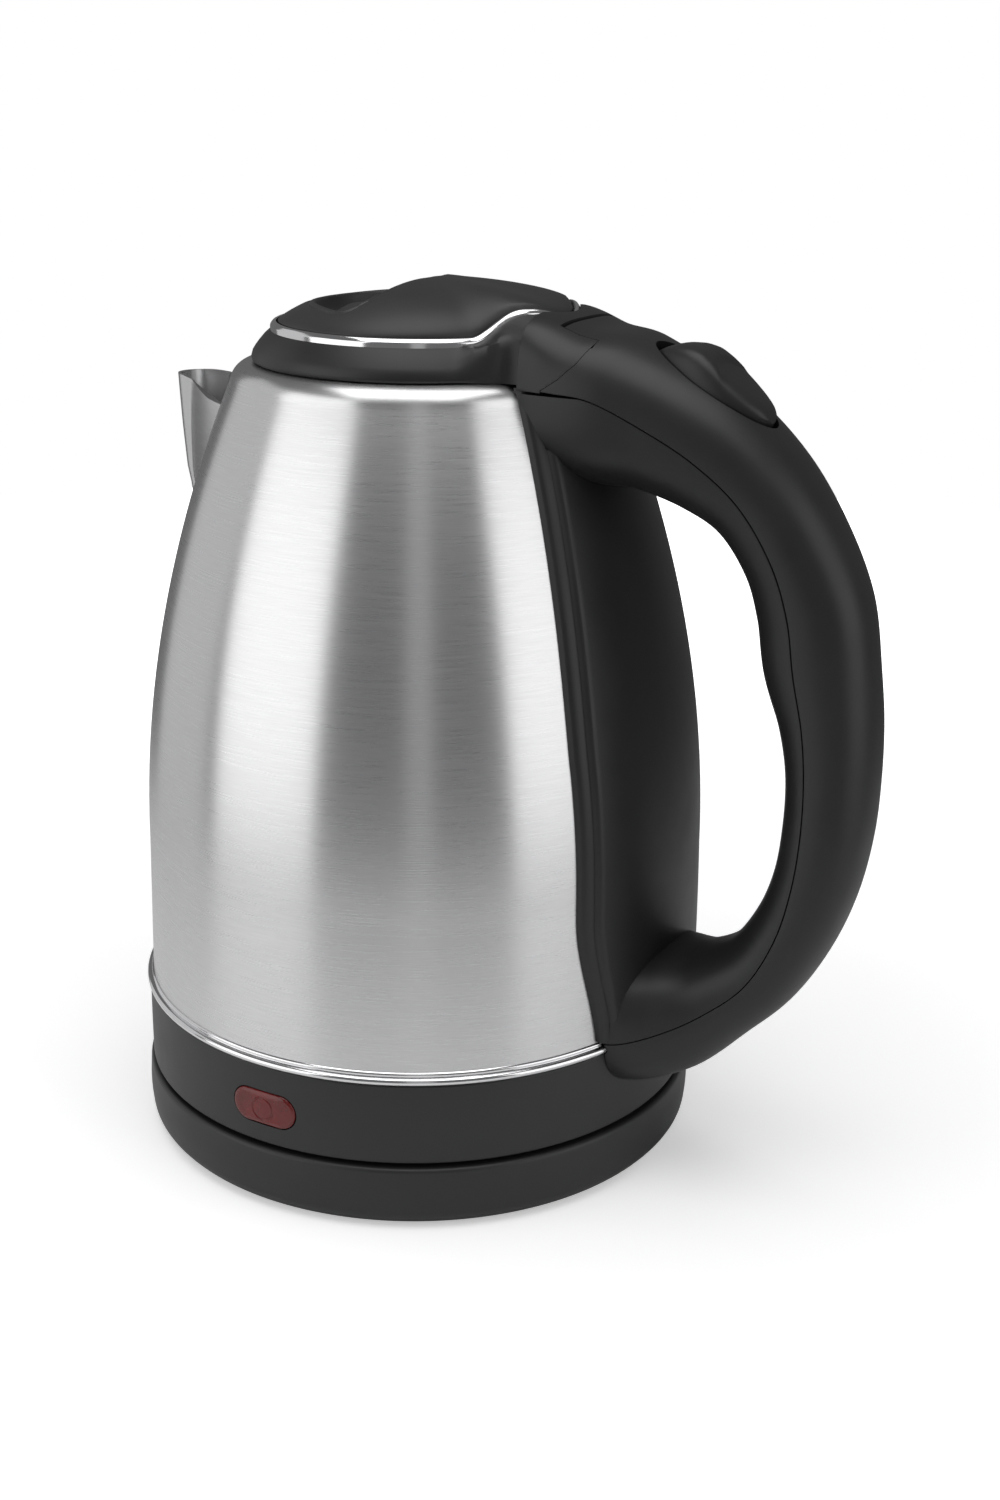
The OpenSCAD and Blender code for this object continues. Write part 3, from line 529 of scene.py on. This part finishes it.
# ---- power base and lower housing ----


def build_base():
    outline = rounded(
        [
            (PLATE_R + 0.3, 0.9, 0.5),
            (BASE_R - 3, 0.9, 2),
            (78.6, 3.4, 1.5),
            (BASE_R, 9.6, 6),
            (BASE_R - 0.5, BASE_H, 1.4),
            (BASE_R - 5, BASE_H, 1.2),
            (BASE_R - 9, DECK_Z, 3),
            (16, DECK_Z, 0.5),
            (16, DECK_Z - WALL, 0.3),
            (BASE_R - 8, DECK_Z - WALL, 1),
            (BASE_R - 2.8, BASE_H - WALL - 1, 1),
            (BASE_R - WALL, 9.6),
            (PLATE_R + 0.6, 4.2),
            (PLATE_R + 0.3, 4.2),
        ]
    )
    base = lathe("base_cover_shell", outline)
    turns = [k * math.pi / 24 for k in range(48)]
    mouth = [(INLET_R * math.cos(t), INLET_Z + INLET_R * math.sin(t)) for t in turns]
    bore = loft("bore", [[(x, y, z) for x, z in mouth] for y in (60, 90)])
    carve(base, bore)
    drop(bore)
    sleeve = rounded([(INLET_R, 66.3), (6.0, 66.3, 0.4), (6.0, 78.0), (INLET_R, 78.0)])
    boss = lathe("boss", sleeve, 48)
    boss.data.transform(Matrix.Rotation(-math.pi / 2, 4, "X"))
    boss.data.transform(Matrix.Translation((0, 0, INLET_Z * MM)))
    boss.name = boss.data.name = "cord_inlet_boss"
    settle(boss, "base_cover", PLASTIC)
    settle(base, "base_cover", PLASTIC)


def stadium(half_w, half_h, n=20):
    """A slot's outline with round ends, about its middle."""
    pts = []
    for sx, a0 in ((1, -90), (-1, 90)):
        for k in range(n + 1):
            x, y = polar(half_h, a0 + 180 * k / n)
            pts.append((sx * (half_w - half_h) + x, y))
    return pts


def build_housing():
    outline = rounded(
        [
            (HOUSING_R - WALL, KETTLE_Z),
            (HOUSING_R, KETTLE_Z, 1.3),
            (HOUSING_R, 31, 4),
            (HOUSING_R - 0.1, HOUSING_TOP, 0.5),
            (HOUSING_R - 4.5, HOUSING_TOP),
            (HOUSING_R - 4.5, HOUSING_TOP - 1.6),
            (HOUSING_R - WALL - 0.2, HOUSING_TOP - 2.6),
        ]
    )
    housing = lathe("lower_housing_shell", outline)
    opening = stadium(LENS_W / 2, LENS_H / 2)
    hole = loft("hole", [[(x, y, LAMP_Z + z) for x, z in opening] for y in (-60, -90)])
    carve(housing, hole)
    drop(hole)
    settle(housing, "lower_housing", PLASTIC)
    settle(loft("indicator_lens_slab", lens_rings()), "indicator_lens", LENS, angle=40)


def lens_rings():
    """A rounded slab that follows the housing's curve, with a round window in its middle."""
    w, h = LENS_W / 2 - 0.25, LENS_H / 2 - 0.25
    # half width, half height, height above the housing
    steps = [
        (w, h, -2.2),
        (w, h, -0.1),
        (w - 0.15, h - 0.15, 0.25),
        (w - 0.55, h - 0.55, 0.48),
        (w - 1.1, h - 1.1, 0.55),
        (w - 2.4, h - 1.2, 0.55),
        (3.5, 3.5, 0.55),
        (3.3, 3.3, 0.36),
        (3.0, 3.0, 0.36),
        (2.8, 2.8, 0.55),
        (1.4, 1.4, 0.6),
        (0.1, 0.1, 0.6),
    ]
    rings = []
    for half_w, half_h, lift in steps:
        r = HOUSING_R + lift
        ring = []
        for x, z in stadium(half_w, half_h):
            a = x / HOUSING_R
            ring.append((r * math.sin(a), -r * math.cos(a), LAMP_Z + z))
        rings.append(ring)
    return rings


def build_seam_ring():
    outline = [(75.6, HOUSING_TOP + 0.05), (77.0, HOUSING_TOP + 0.05)]
    outline += arc(BEAD_MID_R, BEAD_Z, BEAD_R, -80, 80, 14)
    flange = [(77.55, 44.3), (77.55, 45.1, 0.3), (77.1, 45.5, 0.2), (steel_r(44) + 0.05, 45.5)]
    outline += rounded(flange, 3)
    settle(lathe("seam_ring_bead", outline, 320), "seam_ring", BRIGHT)


# ---- steel body and spout ----


def build_body():
    def wall(inset):
        low = [(steel_r(z) - inset, z) for z in np.linspace(44.2, LEAN_Z, 16)]
        high = [(steel_r(z) - inset, z) for z in np.linspace(LEAN_Z, 211, 58)[1:]]
        return low + high + shoulder(-inset, 14)

    outline = wall(0) + [(MOUTH_R, BODY_TOP), (MOUTH_R, BODY_TOP - SHEET)] + wall(SHEET)[::-1]
    body = lathe("steel_body_shell", outline, 320)
    # the way from the vessel into the spout
    hole = block("hole", (-90, -14, 178), (-30, 14, 200))
    carve(body, hole)
    drop(hole)
    settle(body, "steel_body", STEEL)


def spout_section(z, inset):
    """Half outline of the spout at a height, from the body to its tip: [(x, y)]."""
    share = max(0.0, (z - SPOUT_FOOT) / SPOUT_RISE)
    half = max(0.0, SPOUT_HALF_W * share**1.02 - inset)
    reach = [steel_r(SPOUT_FOOT) + 0.1, 76.1, 77.5, 78.5, SPOUT_REACH]
    tip = -(np.interp(z, [SPOUT_FOOT, 175, 181, 193, SPOUT_Z], reach) - inset * 1.3)
    wall_r = steel_r(z) - 0.4
    foot_x = -math.sqrt(max(0.0, wall_r**2 - half**2))
    a, b = Vector((foot_x, half)), Vector((min(tip, foot_x - 0.02), 0))
    # nearly straight sides, then a rounded tip
    straight = 0.72
    pts = []
    for k in range(9):
        t = k / 8 * straight
        p = a.lerp(b, t)
        p.y += 1.3 * share * math.sin(math.pi * t)
        pts.append(p)
    start = pts[-1]
    corner = Vector((b.x, start.y * 0.62))
    for k in range(1, 13):
        t = k / 12
        pts.append((1 - t) ** 2 * start + 2 * t * (1 - t) * corner + t * t * b)
    return [(p.x, p.y) for p in pts]


def build_spout():
    def rim(x):
        """The rim lies level at the tip and dips a little towards the body."""
        return SPOUT_Z - 3.2 * ramp((x + 75) / 22)

    rim_from = 200
    heights = list(np.linspace(SPOUT_FOOT - 1, rim_from, 34)) + list(np.linspace(201, SPOUT_Z, 12))
    rings = []
    for z in heights:
        outer, inner = spout_section(z, 0), spout_section(z, 0.9)
        full = outer + [(x, -y) for x, y in outer[-2::-1]]
        back = inner + [(x, -y) for x, y in inner[-2::-1]]
        loop = full + back[::-1]
        rings.append([(x, y, min(z, rim(x)) if z > rim_from else z) for x, y in loop])
    settle(soften(loft("spout_shell", rings), 0.3, 60), "spout", SPOUT_STEEL, angle=50)


# ---- handle ----


def section_frame(s):
    """The section at s, and the direction of its depth in the X-Z plane."""
    q, b = along(min(s + 0.05, len(HANDLE) - 1)), along(max(s - 0.05, 0))
    d = np.array([q[0] - b[0], q[1] - b[1]])
    d /= np.linalg.norm(d)
    return along(s), np.array([-d[1], d[0]])


def superellipse(half_u, half_w, power, angles):
    c, s = np.cos(angles), np.sin(angles)
    u = half_u * np.sign(c) * np.abs(c) ** (2 / power)
    w = half_w * np.sign(s) * np.abs(s) ** (2 / power)
    return u, w


def in_space(p, normal, points):
    """A section's (u, w) points, placed at their section."""
    return [(p[0] + normal[0] * u, w, p[1] + normal[1] * u) for u, w in points]


def section_arc(p, cut, inset, outer, n):
    """Points of the section's edge on one side of the seam, evenly spaced."""
    hd, hw, e = p[2] - inset, p[3] - inset, p[5]
    edge = np.clip(cut / hd, -0.98, 0.98)
    a = math.acos(math.copysign(abs(edge) ** (e / 2), edge))
    angles = np.linspace(-a, a, 500) if outer else np.linspace(a, 2 * math.pi - a, 500)
    return list(zip(*evenly(*superellipse(hd, hw, e, angles), n)))


def lip(a, b, c):
    """Three points that ease the corner b between a and c."""
    a, b, c = Vector(a), Vector(b), Vector(c)
    out = (c - b).normalized() * LIP
    back = (a - b).normalized() * LIP
    return [tuple(v) for v in (b + back, b + back * 0.3 + out * 0.3, b + out)]


def shell_rings(s_values, outer, n=64):
    """The outer or the inner shell of the handle, open towards the seam, its lips eased."""
    rings = []
    sign = 1 if outer else -1
    for s in s_values:
        p, normal = section_frame(s)
        cut = p[4] + sign * SEAM / 2
        loop = section_arc(p, cut, 0, outer, n)
        inner = section_arc(p, cut, WALL, outer, n // 2)[::-1]
        head = lip(loop[1], loop[0], inner[-1])[::-1]
        tail = lip(loop[-2], loop[-1], inner[0])
        rings.append(in_space(p, normal, head + loop[2:-2] + tail + inner))
    return rings


def form_rings(s_values, n=96):
    """The handle's whole outside form."""
    rings = []
    for s in s_values:
        p, normal = section_frame(s)
        u, w = evenly(*superellipse(p[2], p[3], p[5], np.linspace(0, 2 * math.pi, 600)), n + 1)
        rings.append(in_space(p, normal, zip(u[:-1], w[:-1])))
    return rings


def envelope(name, gap):
    """What the handle's shells have to stay outside of."""
    outline = [(0.01, 10), (HOUSING_R + gap, 10), (HOUSING_R + gap, BEAD_Z - 1.3)]
    outline += arc(BEAD_MID_R, BEAD_Z, BEAD_R + gap, -60, 60, 6)
    outline += [(77.6 + gap, 45.2), (steel_r(46) + gap, 45.9)]
    outline += [(steel_r(z) + gap, z) for z in np.linspace(47, 211, 30)]
    outline += shoulder(gap, 8)
    outline += [(0.01, BODY_TOP + gap)]
    return lathe(name, outline, 160)


def rocker_place():
    tilt = Matrix.Rotation(math.radians(ROCKER_TILT), 4, "Y")
    return Matrix.Translation((ROCKER[0] * MM, 0, ROCKER[1] * MM)) @ tilt


def build_handle():
    """Builds the handle, and returns the form of the body that the collar's root is cut to as well."""
    last = len(HANDLE) - 1
    body = envelope("envelope", 0.2)
    outer = loft("handle_outer_shell", shell_rings(np.linspace(1.6, last, 150), True))
    turns = np.linspace(0, 2 * math.pi, 97)[:-1]
    oval = [(18.7 * math.cos(t), 10.0 * math.sin(t)) for t in turns]
    window = loft("window", [[(x, y, z) for x, y in oval] for z in (-6, 16)])
    window.data.transform(rocker_place())
    joint = [(20, 190), (50, 190)] + ROOT_LINE[:3] + [(60.2, 226.02), (20, 226.02)]
    front = prism("front", joint, CUT_Y)
    top = block("top", (20, -CUT_Y, 226), (50, CUT_Y, 260))
    # beside the tab that reaches forward to the collar's top
    left = block("side", (49.9, -CUT_Y, 226), (60.6, -13.5, 260))
    right = block("side", (49.9, 13.5, 226), (60.6, CUT_Y, 260))
    carve(outer, body, window, front, top, left, right)
    settle(outer, "handle_outer", HANDLE_PLASTIC)
    drop(window, front, top, left, right)

    inner = loft("handle_inner_shell", shell_rings(np.linspace(1.2, last, 150), False))
    over = block("over", (10, -CUT_Y, 214.4), (64, CUT_Y, 260))
    tunnel = lathe("tunnel", [(0.01, 30), (TUNNEL_R, 30), (TUNNEL_R, 66), (0.01, 66)], 40)
    along_x = Matrix.Rotation(math.pi / 2, 4, "Y")
    tunnel.data.transform(Matrix.Translation((0, 0, TUNNEL_Z * MM)) @ along_x)
    carve(inner, body, over, tunnel)
    settle(inner, "handle_inner", HANDLE_PLASTIC)

    panel = build_panel()
    carve(panel, tunnel)
    settle(panel, "handle_inner", HANDLE_PLASTIC)
    drop(over, tunnel)
    return body


def panel_half_w(z):
    """Half the width of the strip that lies against the steel inside the handle."""
    if z > 84:
        return mix(33.6, 22.6, min(1.0, max(0.0, (z - 125) / 92)) ** 1.5)
    return mix(27.0, 33.6, ramp((z - 40) / 42))


def build_panel():
    # distance in from the panel's edge, and height above the steel
    edge = [
        (0.0, -0.3),
        (0.0, 1.2),
        (0.15, 1.75),
        (0.55, 2.1),
        (1.4, 2.35),
        (2.2, 2.45),
        (2.45, 2.2),
        (2.7, 2.3),
        (2.85, 3.1),
        (3.1, 3.6),
        (3.6, 3.85),
        (4.6, PANEL_LIFT),
        (7.0, PANEL_LIFT),
    ]
    flat = edge[-1][0]
    rings = []
    for z in np.linspace(45.9, 215.6, 110):
        half = panel_half_w(z)
        base = steel_r(z)
        loop = [(half - d, h) for d, h in edge]
        loop += [(y, PANEL_LIFT) for y in np.linspace(half - flat, -(half - flat), 18)[1:-1]]
        loop += [(-(half - d), h) for d, h in edge[::-1]]
        loop += [(y, edge[0][1]) for y in np.linspace(-half, half, 16)[1:-1]]
        rings.append([(math.sqrt((base + h) ** 2 - y * y), y, z) for y, h in loop])
    return loft("back_panel", rings)


# ---- collar, trim and lid ----


# radius, z up the collar's outside: in front, and where it swells out to meet the handle's root
COLLAR_FRONT = [
    (43.0, 216.45), (43.75, 217.0), (44.0, 217.9), (43.6, 219.3), (42.9, 220.4), (41.9, 221.7), (40.6, 223.2),
]
COLLAR_REAR = [
    (45.3, 216.45), (45.9, 217.4), (46.2, 219.2), (46.2, 221.8), (45.9, 224.4), (45.0, 226.6), (43.4, 228.2),
]


def root_half_w(z):
    """Half the width of the handle's root at a height, close behind the collar."""
    return 23.2 * max(0.05, 1 - abs((z - 213) / 20) ** 3.8) ** (1 / 3.8)


def smooth_max(a, b, k):
    """The larger of two values, blended where they differ by less than k."""
    h = max(k - abs(a - b), 0) / k
    return max(a, b) + h * h * k / 4


def collar_rings(n=300):
    rings = []
    for k in range(n):
        a = 360 * k / n
        b = abs(wrap(a))
        swell = ramp((47 - b) / 17)
        brim = edge_z(a) - mix(2.3, 1.3, swell)
        seat_z = edge_z(a) - TRIM_DROP
        root_share = math.sin(math.radians(min(90, max(b, 25))))
        outer = []
        for i, (front, rear) in enumerate(zip(COLLAR_FRONT, COLLAR_REAR)):
            r, z = mix(front[0], rear[0], swell), mix(front[1], rear[1], swell)
            # the outside stays below the brim, and its points stay apart
            z = min(z, brim - 0.02 + 0.004 * i)
            outer.append((smooth_max(r, root_half_w(z) / root_share, 3.2), z))
        far = edge_r(a, TRIM_SEAT)
        near = max(COLLAR_BORE + 0.1, edge_r(a, WELL_GAP))
        loop = [(COLLAR_BORE, 214.0), (39.0, 214.0), (39.0, 216.45)] + outer
        loop += [(far, brim), (far, seat_z), (near, seat_z), (near, WELL_Z), (COLLAR_BORE, WELL_Z)]
        rings.append([(*polar(r, a), z) for r, z in loop])
    return rings


def well_rings(n=240):
    """The space that the lid and the trim take up in the collar, and all above it."""
    angles = [360 * k / n for k in range(n)]
    levels = [
        (WELL_GAP, lambda a: WELL_Z),
        (WELL_GAP, lambda a: edge_z(a) - TRIM_DROP),
        (TRIM_SEAT, lambda a: edge_z(a) - TRIM_DROP),
        (TRIM_SEAT, lambda a: 262.0),
    ]
    return [[(*polar(edge_r(a, grow), a), height(a)) for a in angles] for grow, height in levels]


def build_collar(body):
    ring = loft("collar_ring", collar_rings(), closed=True)
    behind = block("behind", (ROOT_X + 0.05, -CUT_Y, 200), (90, CUT_Y, 260))
    carve(ring, behind)
    settle(ring, "collar", HANDLE_PLASTIC, angle=40)
    drop(behind)

    well = loft("well", well_rings())
    bore = lathe("bore", [(0.01, 200), (COLLAR_BORE, 200), (COLLAR_BORE, 250), (0.01, 250)], 240)
    root = loft("collar_root", form_rings(np.linspace(0.5, 3.4, 60)))
    front = block("front", (0, -CUT_Y, 190), (ROOT_X, CUT_Y, 260))
    joint = [(x - 0.1, z + 0.06) for x, z in ROOT_LINE]
    behind = prism("behind", joint + [(90, 250), (90, 190), (50, 190)], CUT_Y)
    under = block("under", (10, -CUT_Y, 180), (90, CUT_Y, 215.1))
    tab = block("tab", (49.8, -13.7, 222), (62.0, 13.7, 250))
    carve(root, front, behind, under, body, bore, well, tab)
    settle(soften(root, 0.1, 50), "collar", HANDLE_PLASTIC)
    drop(front, behind, under, tab, well, bore)


def build_trim(n=300):
    # distance out from the lid's edge, and height above it
    section = [(LID_GAP, -2.4), (2.1, -2.4), (2.1, -1.1, 0.3), (1.35, -0.1, 0.5), (LID_GAP, 0.0, 0.25)]
    section = rounded(section, 3)
    rings = []
    for k in range(n):
        a = -360 * k / n
        rings.append([(*polar(edge_r(a, out), a), edge_z(a) + up) for out, up in section])
    settle(loft("trim_band", rings, closed=True), "trim_ring", BRIGHT, angle=50)


# the finger recess's edge in plan on one side, from its front round to the middle of the ridge behind it
SCOOP = [
    (-27.5, 0), (-27.2, -4.5), (-25.6, -10), (-22.3, -15.6), (-17.6, -20.9), (-12.4, -25.2),
    (-7.6, -28.0), (-4.2, -28.7), (-1.8, -27.2), (-0.4, -24.2), (0.9, -20.6), (2.0, -16.8),
    (3.2, -12.2), (4.8, -7.0), (6.6, -2.6), (7.2, 0),
]
SCOOP_DEPTH = 6.8
SCOOP_FLOOR = 230.2
SCOOP_LIP = 0.8  # how far the dome has sunk where the recess begins
# the dome beside the recess: how far it sinks at a distance from the edge, to a groove and a low ridge
GROOVE_AT = [0, 0.35, 0.85, 1.3, 1.7, 2.1, 2.7]
GROOVE_DIP = [SCOOP_LIP, 0.36, 0.15, 0.25, 0.85, 0.25, 0.0]


def scoop_outline(n):
    """Evenly spaced points of that edge, with the share of the way from front to rear."""
    pts = np.array([(SCOOP[1][0], -SCOOP[1][1])] + SCOOP + [(SCOOP[-2][0], -SCOOP[-2][1])], float)
    fine = []
    for i in range(1, len(pts) - 2):
        fine += [spline(*pts[i - 1 : i + 3], t) for t in np.linspace(0, 1, 12, endpoint=False)]
    fine = np.array(fine + [pts[-2]])
    x, y = evenly(fine[:, 0], fine[:, 1], n)
    front, rear = SCOOP[0][0], SCOOP[-1][0]
    return [(a, -b, (a - front) / (rear - front)) for a, b in zip(x, y)]


def lip_share(t):
    """The recess's lip fades out towards the middle of its ridge."""
    return ramp((0.95 - t) / 0.3)


def rear_ease(x, y):
    """The lid's edge is eased beside its hinge, where it swings past the trim."""
    a = math.degrees(math.atan2(y, x))
    beside = ramp((abs(a) - 5) / 7) * (1 - ramp((abs(a) - 24) / 8))
    return 1.15 * beside * max(0.0, 1 - (edge_r(a) - math.hypot(x, y)) / 1.4) ** 1.3


def lid_edge_opposite(rim):
    """A point of the lid's edge for each point of the recess's rim."""
    cx, cy = -9.0, 0.0
    edge = np.array([polar(edge_r(a), a) for a in (-180 + k * 0.25 for k in range(1440))])
    ray = np.degrees(np.arctan2(edge[:, 1] - cy, edge[:, 0] - cx))
    order = np.argsort(ray)
    ray, edge = ray[order], edge[order]
    found = []
    for i, (x, y, _) in enumerate(rim):
        # rays fan out nearly evenly, so that the pointed end doesn't bunch them
        direct = math.degrees(math.atan2(y - cy, x - cx))
        even = wrap(180 - 360 * i / len(rim))
        a = wrap(direct + 0.25 * wrap(even - direct))
        found.append([np.interp(a, ray, edge[:, c], period=360) for c in (0, 1)])
    return found


def lid_rings():
    half = scoop_outline(73)
    rim = half + [(x, -y, t) for x, y, t in half[-2:0:-1]]
    edge = lid_edge_opposite(rim)
    # the shell's underside and skirt
    rings = []
    for grow, z in ((-2.0, 224.2), (-1.9, 223.05)):
        rings.append([(x * (1 + grow / LID_R), y * (1 + grow / LID_R), z) for x, y in edge])
    rings += [[(x, y, z) for x, y in edge] for z in (223.0, 223.2)]
    # the dome, from its edge in to the recess
    steps = 40
    for k in range(steps + 1):
        g = 1 - (k / steps) ** 1.7
        ring = []
        for (rim_x, rim_y, t), (edge_x, edge_y) in zip(rim, edge):
            x, y = mix(rim_x, edge_x, g), mix(rim_y, edge_y, g)
            away = math.hypot(x - rim_x, y - rim_y)
            dip = np.interp(away, GROOVE_AT, GROOVE_DIP) * lip_share(t)
            ring.append((x, y, dome_z(x, y) - dip - rear_ease(x, y)))
        rings.append(ring)
    # the recess: steep below its front edge, easier below the ridge
    for h in (0.02, 0.05, 0.09, 0.14, 0.2, 0.28, 0.37, 0.47, 0.58, 0.7, 0.82, 0.92, 1.0):
        ring = []
        for x, y, t in rim:
            px, py = mix(x, mix(-18.0, -7.0, t), h), mix(y, 0.0, h)
            share = 1 - (1 - h) ** mix(6.0, 3.2, t)
            wall = dome_z(px, py) - SCOOP_LIP * lip_share(t) - SCOOP_DEPTH * share
            ring.append((px, py, mix(wall, SCOOP_FLOOR, ramp(h * 1.15))))
        rings.append(ring)
    return rings


def build_lid():
    lid = loft("lid_dome", lid_rings())
    x, z = HINGE
    pin = lathe("pin", [(0.01, -8.1), (1.3, -8.1), (1.3, 8.1), (0.01, 8.1)], 32)
    across = Matrix.Rotation(math.pi / 2, 4, "X")
    pin.data.transform(Matrix.Translation((x * MM, 0, z * MM)) @ across)
    way = [(-3.2, -22), (-3.2, -5), (-1.5, -1), (-1, -0.25), (0, -0.25), (7, -2.1), (7, -22)]
    slot = prism("slot", [(x + dx, z + dz) for dx, dz in way], 2.9)
    pocket = block("pocket", (x - 4.6, -8.1, z - 6), (x + 0.7, 8.1, z - 0.02))
    carve(lid, slot, pocket, pin)
    drop(slot, pocket, pin)
    settle(lid, "lid_shell", LID_PLASTIC, angle=38)


# ---- rocker ----


def rocker_rings(n=96):
    half_l, half_w = 17.4, 9.6
    # x and z along the rocker's middle, from its front to its rear
    profile_x = [-17.5, -17.2, -16.4, -14.6, -11.6, -8.3, -5.1, -1.5, 2.5, 9.5, 14.8, 16.4, 17.2, 17.5]
    profile_z = [-1.0, 0.6, 2.4, 4.3, 6.2, 7.5, 7.9, 7.3, 6.3, 4.6, 3.3, 2.2, 0.8, -1.0]
    dense = np.linspace(-17.5, 17.5, 400)
    kernel = np.hanning(31)
    padded = np.pad(np.interp(dense, profile_x, profile_z), 15, mode="edge")
    smooth = np.convolve(padded, kernel / kernel.sum(), mode="valid")

    def top(x, y):
        """The profile, with a shallow pad pressed in behind a curved ridge."""
        z = np.interp(x, dense, smooth)
        ridge = -2.6 + 0.075 * y * y
        pad = ramp((x - ridge) / 1.6) * (1 - ramp((x - ridge) / 18)) * 0.6
        return z - pad * (1 - (abs(y) / 9.9) ** 4)

    def ring(share, height):
        out = []
        for k in range(n):
            t = 2 * math.pi * k / n
            x, y = half_l * share * math.cos(t), half_w * share * math.sin(t)
            out.append((x, y, height(x, y)))
        return out

    rings = [
        ring(0.75, lambda x, y: -3.0),
        ring(0.96, lambda x, y: -3.0),
        ring(1.0, lambda x, y: -2.4),
    ]
    shares = [1.0, 0.995, 0.98, 0.955, 0.92, 0.88, 0.82, 0.75, 0.67, 0.58, 0.48, 0.38, 0.28, 0.18, 0.09, 0.02]
    for share in shares:
        # the top rolls over towards the edge
        full = (1 - share**7) ** 0.42

        def height(x, y):
            low = 0.2 + 0.09 * abs(x) ** 0.8
            return mix(min(low, top(x, y)), top(x, y), full)

        rings.append(ring(share, height))
    return rings


def build_rocker():
    rocker = loft("rocker_cap", rocker_rings())
    rocker.data.transform(rocker_place())
    settle(rocker, "rocker_switch", HANDLE_PLASTIC, angle=50)


build_base()
build_housing()
build_seam_ring()
build_body()
build_spout()
keep_out = build_handle()
build_collar(keep_out)
drop(keep_out)
build_trim()
build_lid()
build_rocker()


# ---- studio ----


def build_studio():
    floor = lathe("floor", [(0.01, -0.05), (400, -0.05), (900, -0.05), (900, -20), (0.01, -20)], 96)
    pale = Look("floor_pale", (0.9, 0.9, 0.9), 0.85)
    pale.vary_color(pale.noise(6, detail=2), 0.99, 1.01)
    # the floor dissolves into the white room away from the object
    coords = pale.node("ShaderNodeTexCoord")
    reach = pale.node("ShaderNodeVectorMath", operation="LENGTH")
    pale.link(coords.outputs["Object"], reach.inputs[0])
    pale.link(pale.spread(reach.outputs["Value"], 1, 0, 0.16, 0.5), pale.shader.inputs["Alpha"])
    # seen directly, it is as bright as the room, and only its shadows show
    glow = pale.node("ShaderNodeEmission")
    glow.inputs["Strength"].default_value = 0.42
    both = pale.node("ShaderNodeAddShader")
    seen = pale.node("ShaderNodeLightPath")
    choice = pale.node("ShaderNodeMixShader")
    pale.link(pale.shader.outputs["BSDF"], both.inputs[0])
    pale.link(glow.outputs["Emission"], both.inputs[1])
    pale.link(seen.outputs["Is Camera Ray"], choice.inputs[0])
    pale.link(pale.shader.outputs["BSDF"], choice.inputs[1])
    pale.link(both.outputs["Shader"], choice.inputs[2])
    pale.link(choice.outputs["Shader"], pale.tree.nodes["Material Output"].inputs["Surface"])
    floor.data.materials.append(pale.material)

    def softbox(name, azimuth, elevation, distance, width, height, power):
        data = bpy.data.lights.new(name, "AREA")
        data.shape = "RECTANGLE"
        data.size, data.size_y = width, height
        data.energy = power
        light = bpy.data.objects.new(name, data)
        scene.collection.objects.link(light)
        a, e = math.radians(azimuth), math.radians(elevation)
        spot = Vector((math.sin(a) * math.cos(e), -math.cos(a) * math.cos(e), math.sin(e))) * distance
        target = Vector((0, 0, 0.12))
        light.location = target + spot
        light.rotation_euler = (-spot).to_track_quat("-Z", "Y").to_euler()

    softbox("box_left", AZIMUTH - 66, 12, 1.5, 1.4, 1.6, 8.6)
    softbox("box_right", AZIMUTH + 58, 12, 1.5, 1.2, 1.6, 7)
    softbox("box_front", AZIMUTH, 12, 1.6, 0.3, 1.6, 0.35)
    softbox("box_edge", AZIMUTH - 118, 10, 1.5, 1.2, 1.6, 2.6)
    softbox("box_top", 20, 82, 1.6, 1.6, 1.6, 16)

    world = bpy.data.worlds.new("world")
    scene.world = world
    world.use_nodes = True
    tree = world.node_tree
    out = tree.nodes["World Output"]
    room = tree.nodes["Background"]
    room.inputs["Color"].default_value = (0.14, 0.14, 0.142, 1)
    room.inputs["Strength"].default_value = 1.0
    backdrop = tree.nodes.new("ShaderNodeBackground")
    backdrop.inputs["Color"].default_value = (1, 1, 1, 1)
    backdrop.inputs["Strength"].default_value = 1.0
    path = tree.nodes.new("ShaderNodeLightPath")
    either = tree.nodes.new("ShaderNodeMixShader")
    tree.links.new(path.outputs["Is Camera Ray"], either.inputs[0])
    tree.links.new(room.outputs[0], either.inputs[1])
    tree.links.new(backdrop.outputs[0], either.inputs[2])
    tree.links.new(either.outputs[0], out.inputs[0])
    scene.view_settings.view_transform = "Standard"


build_studio()
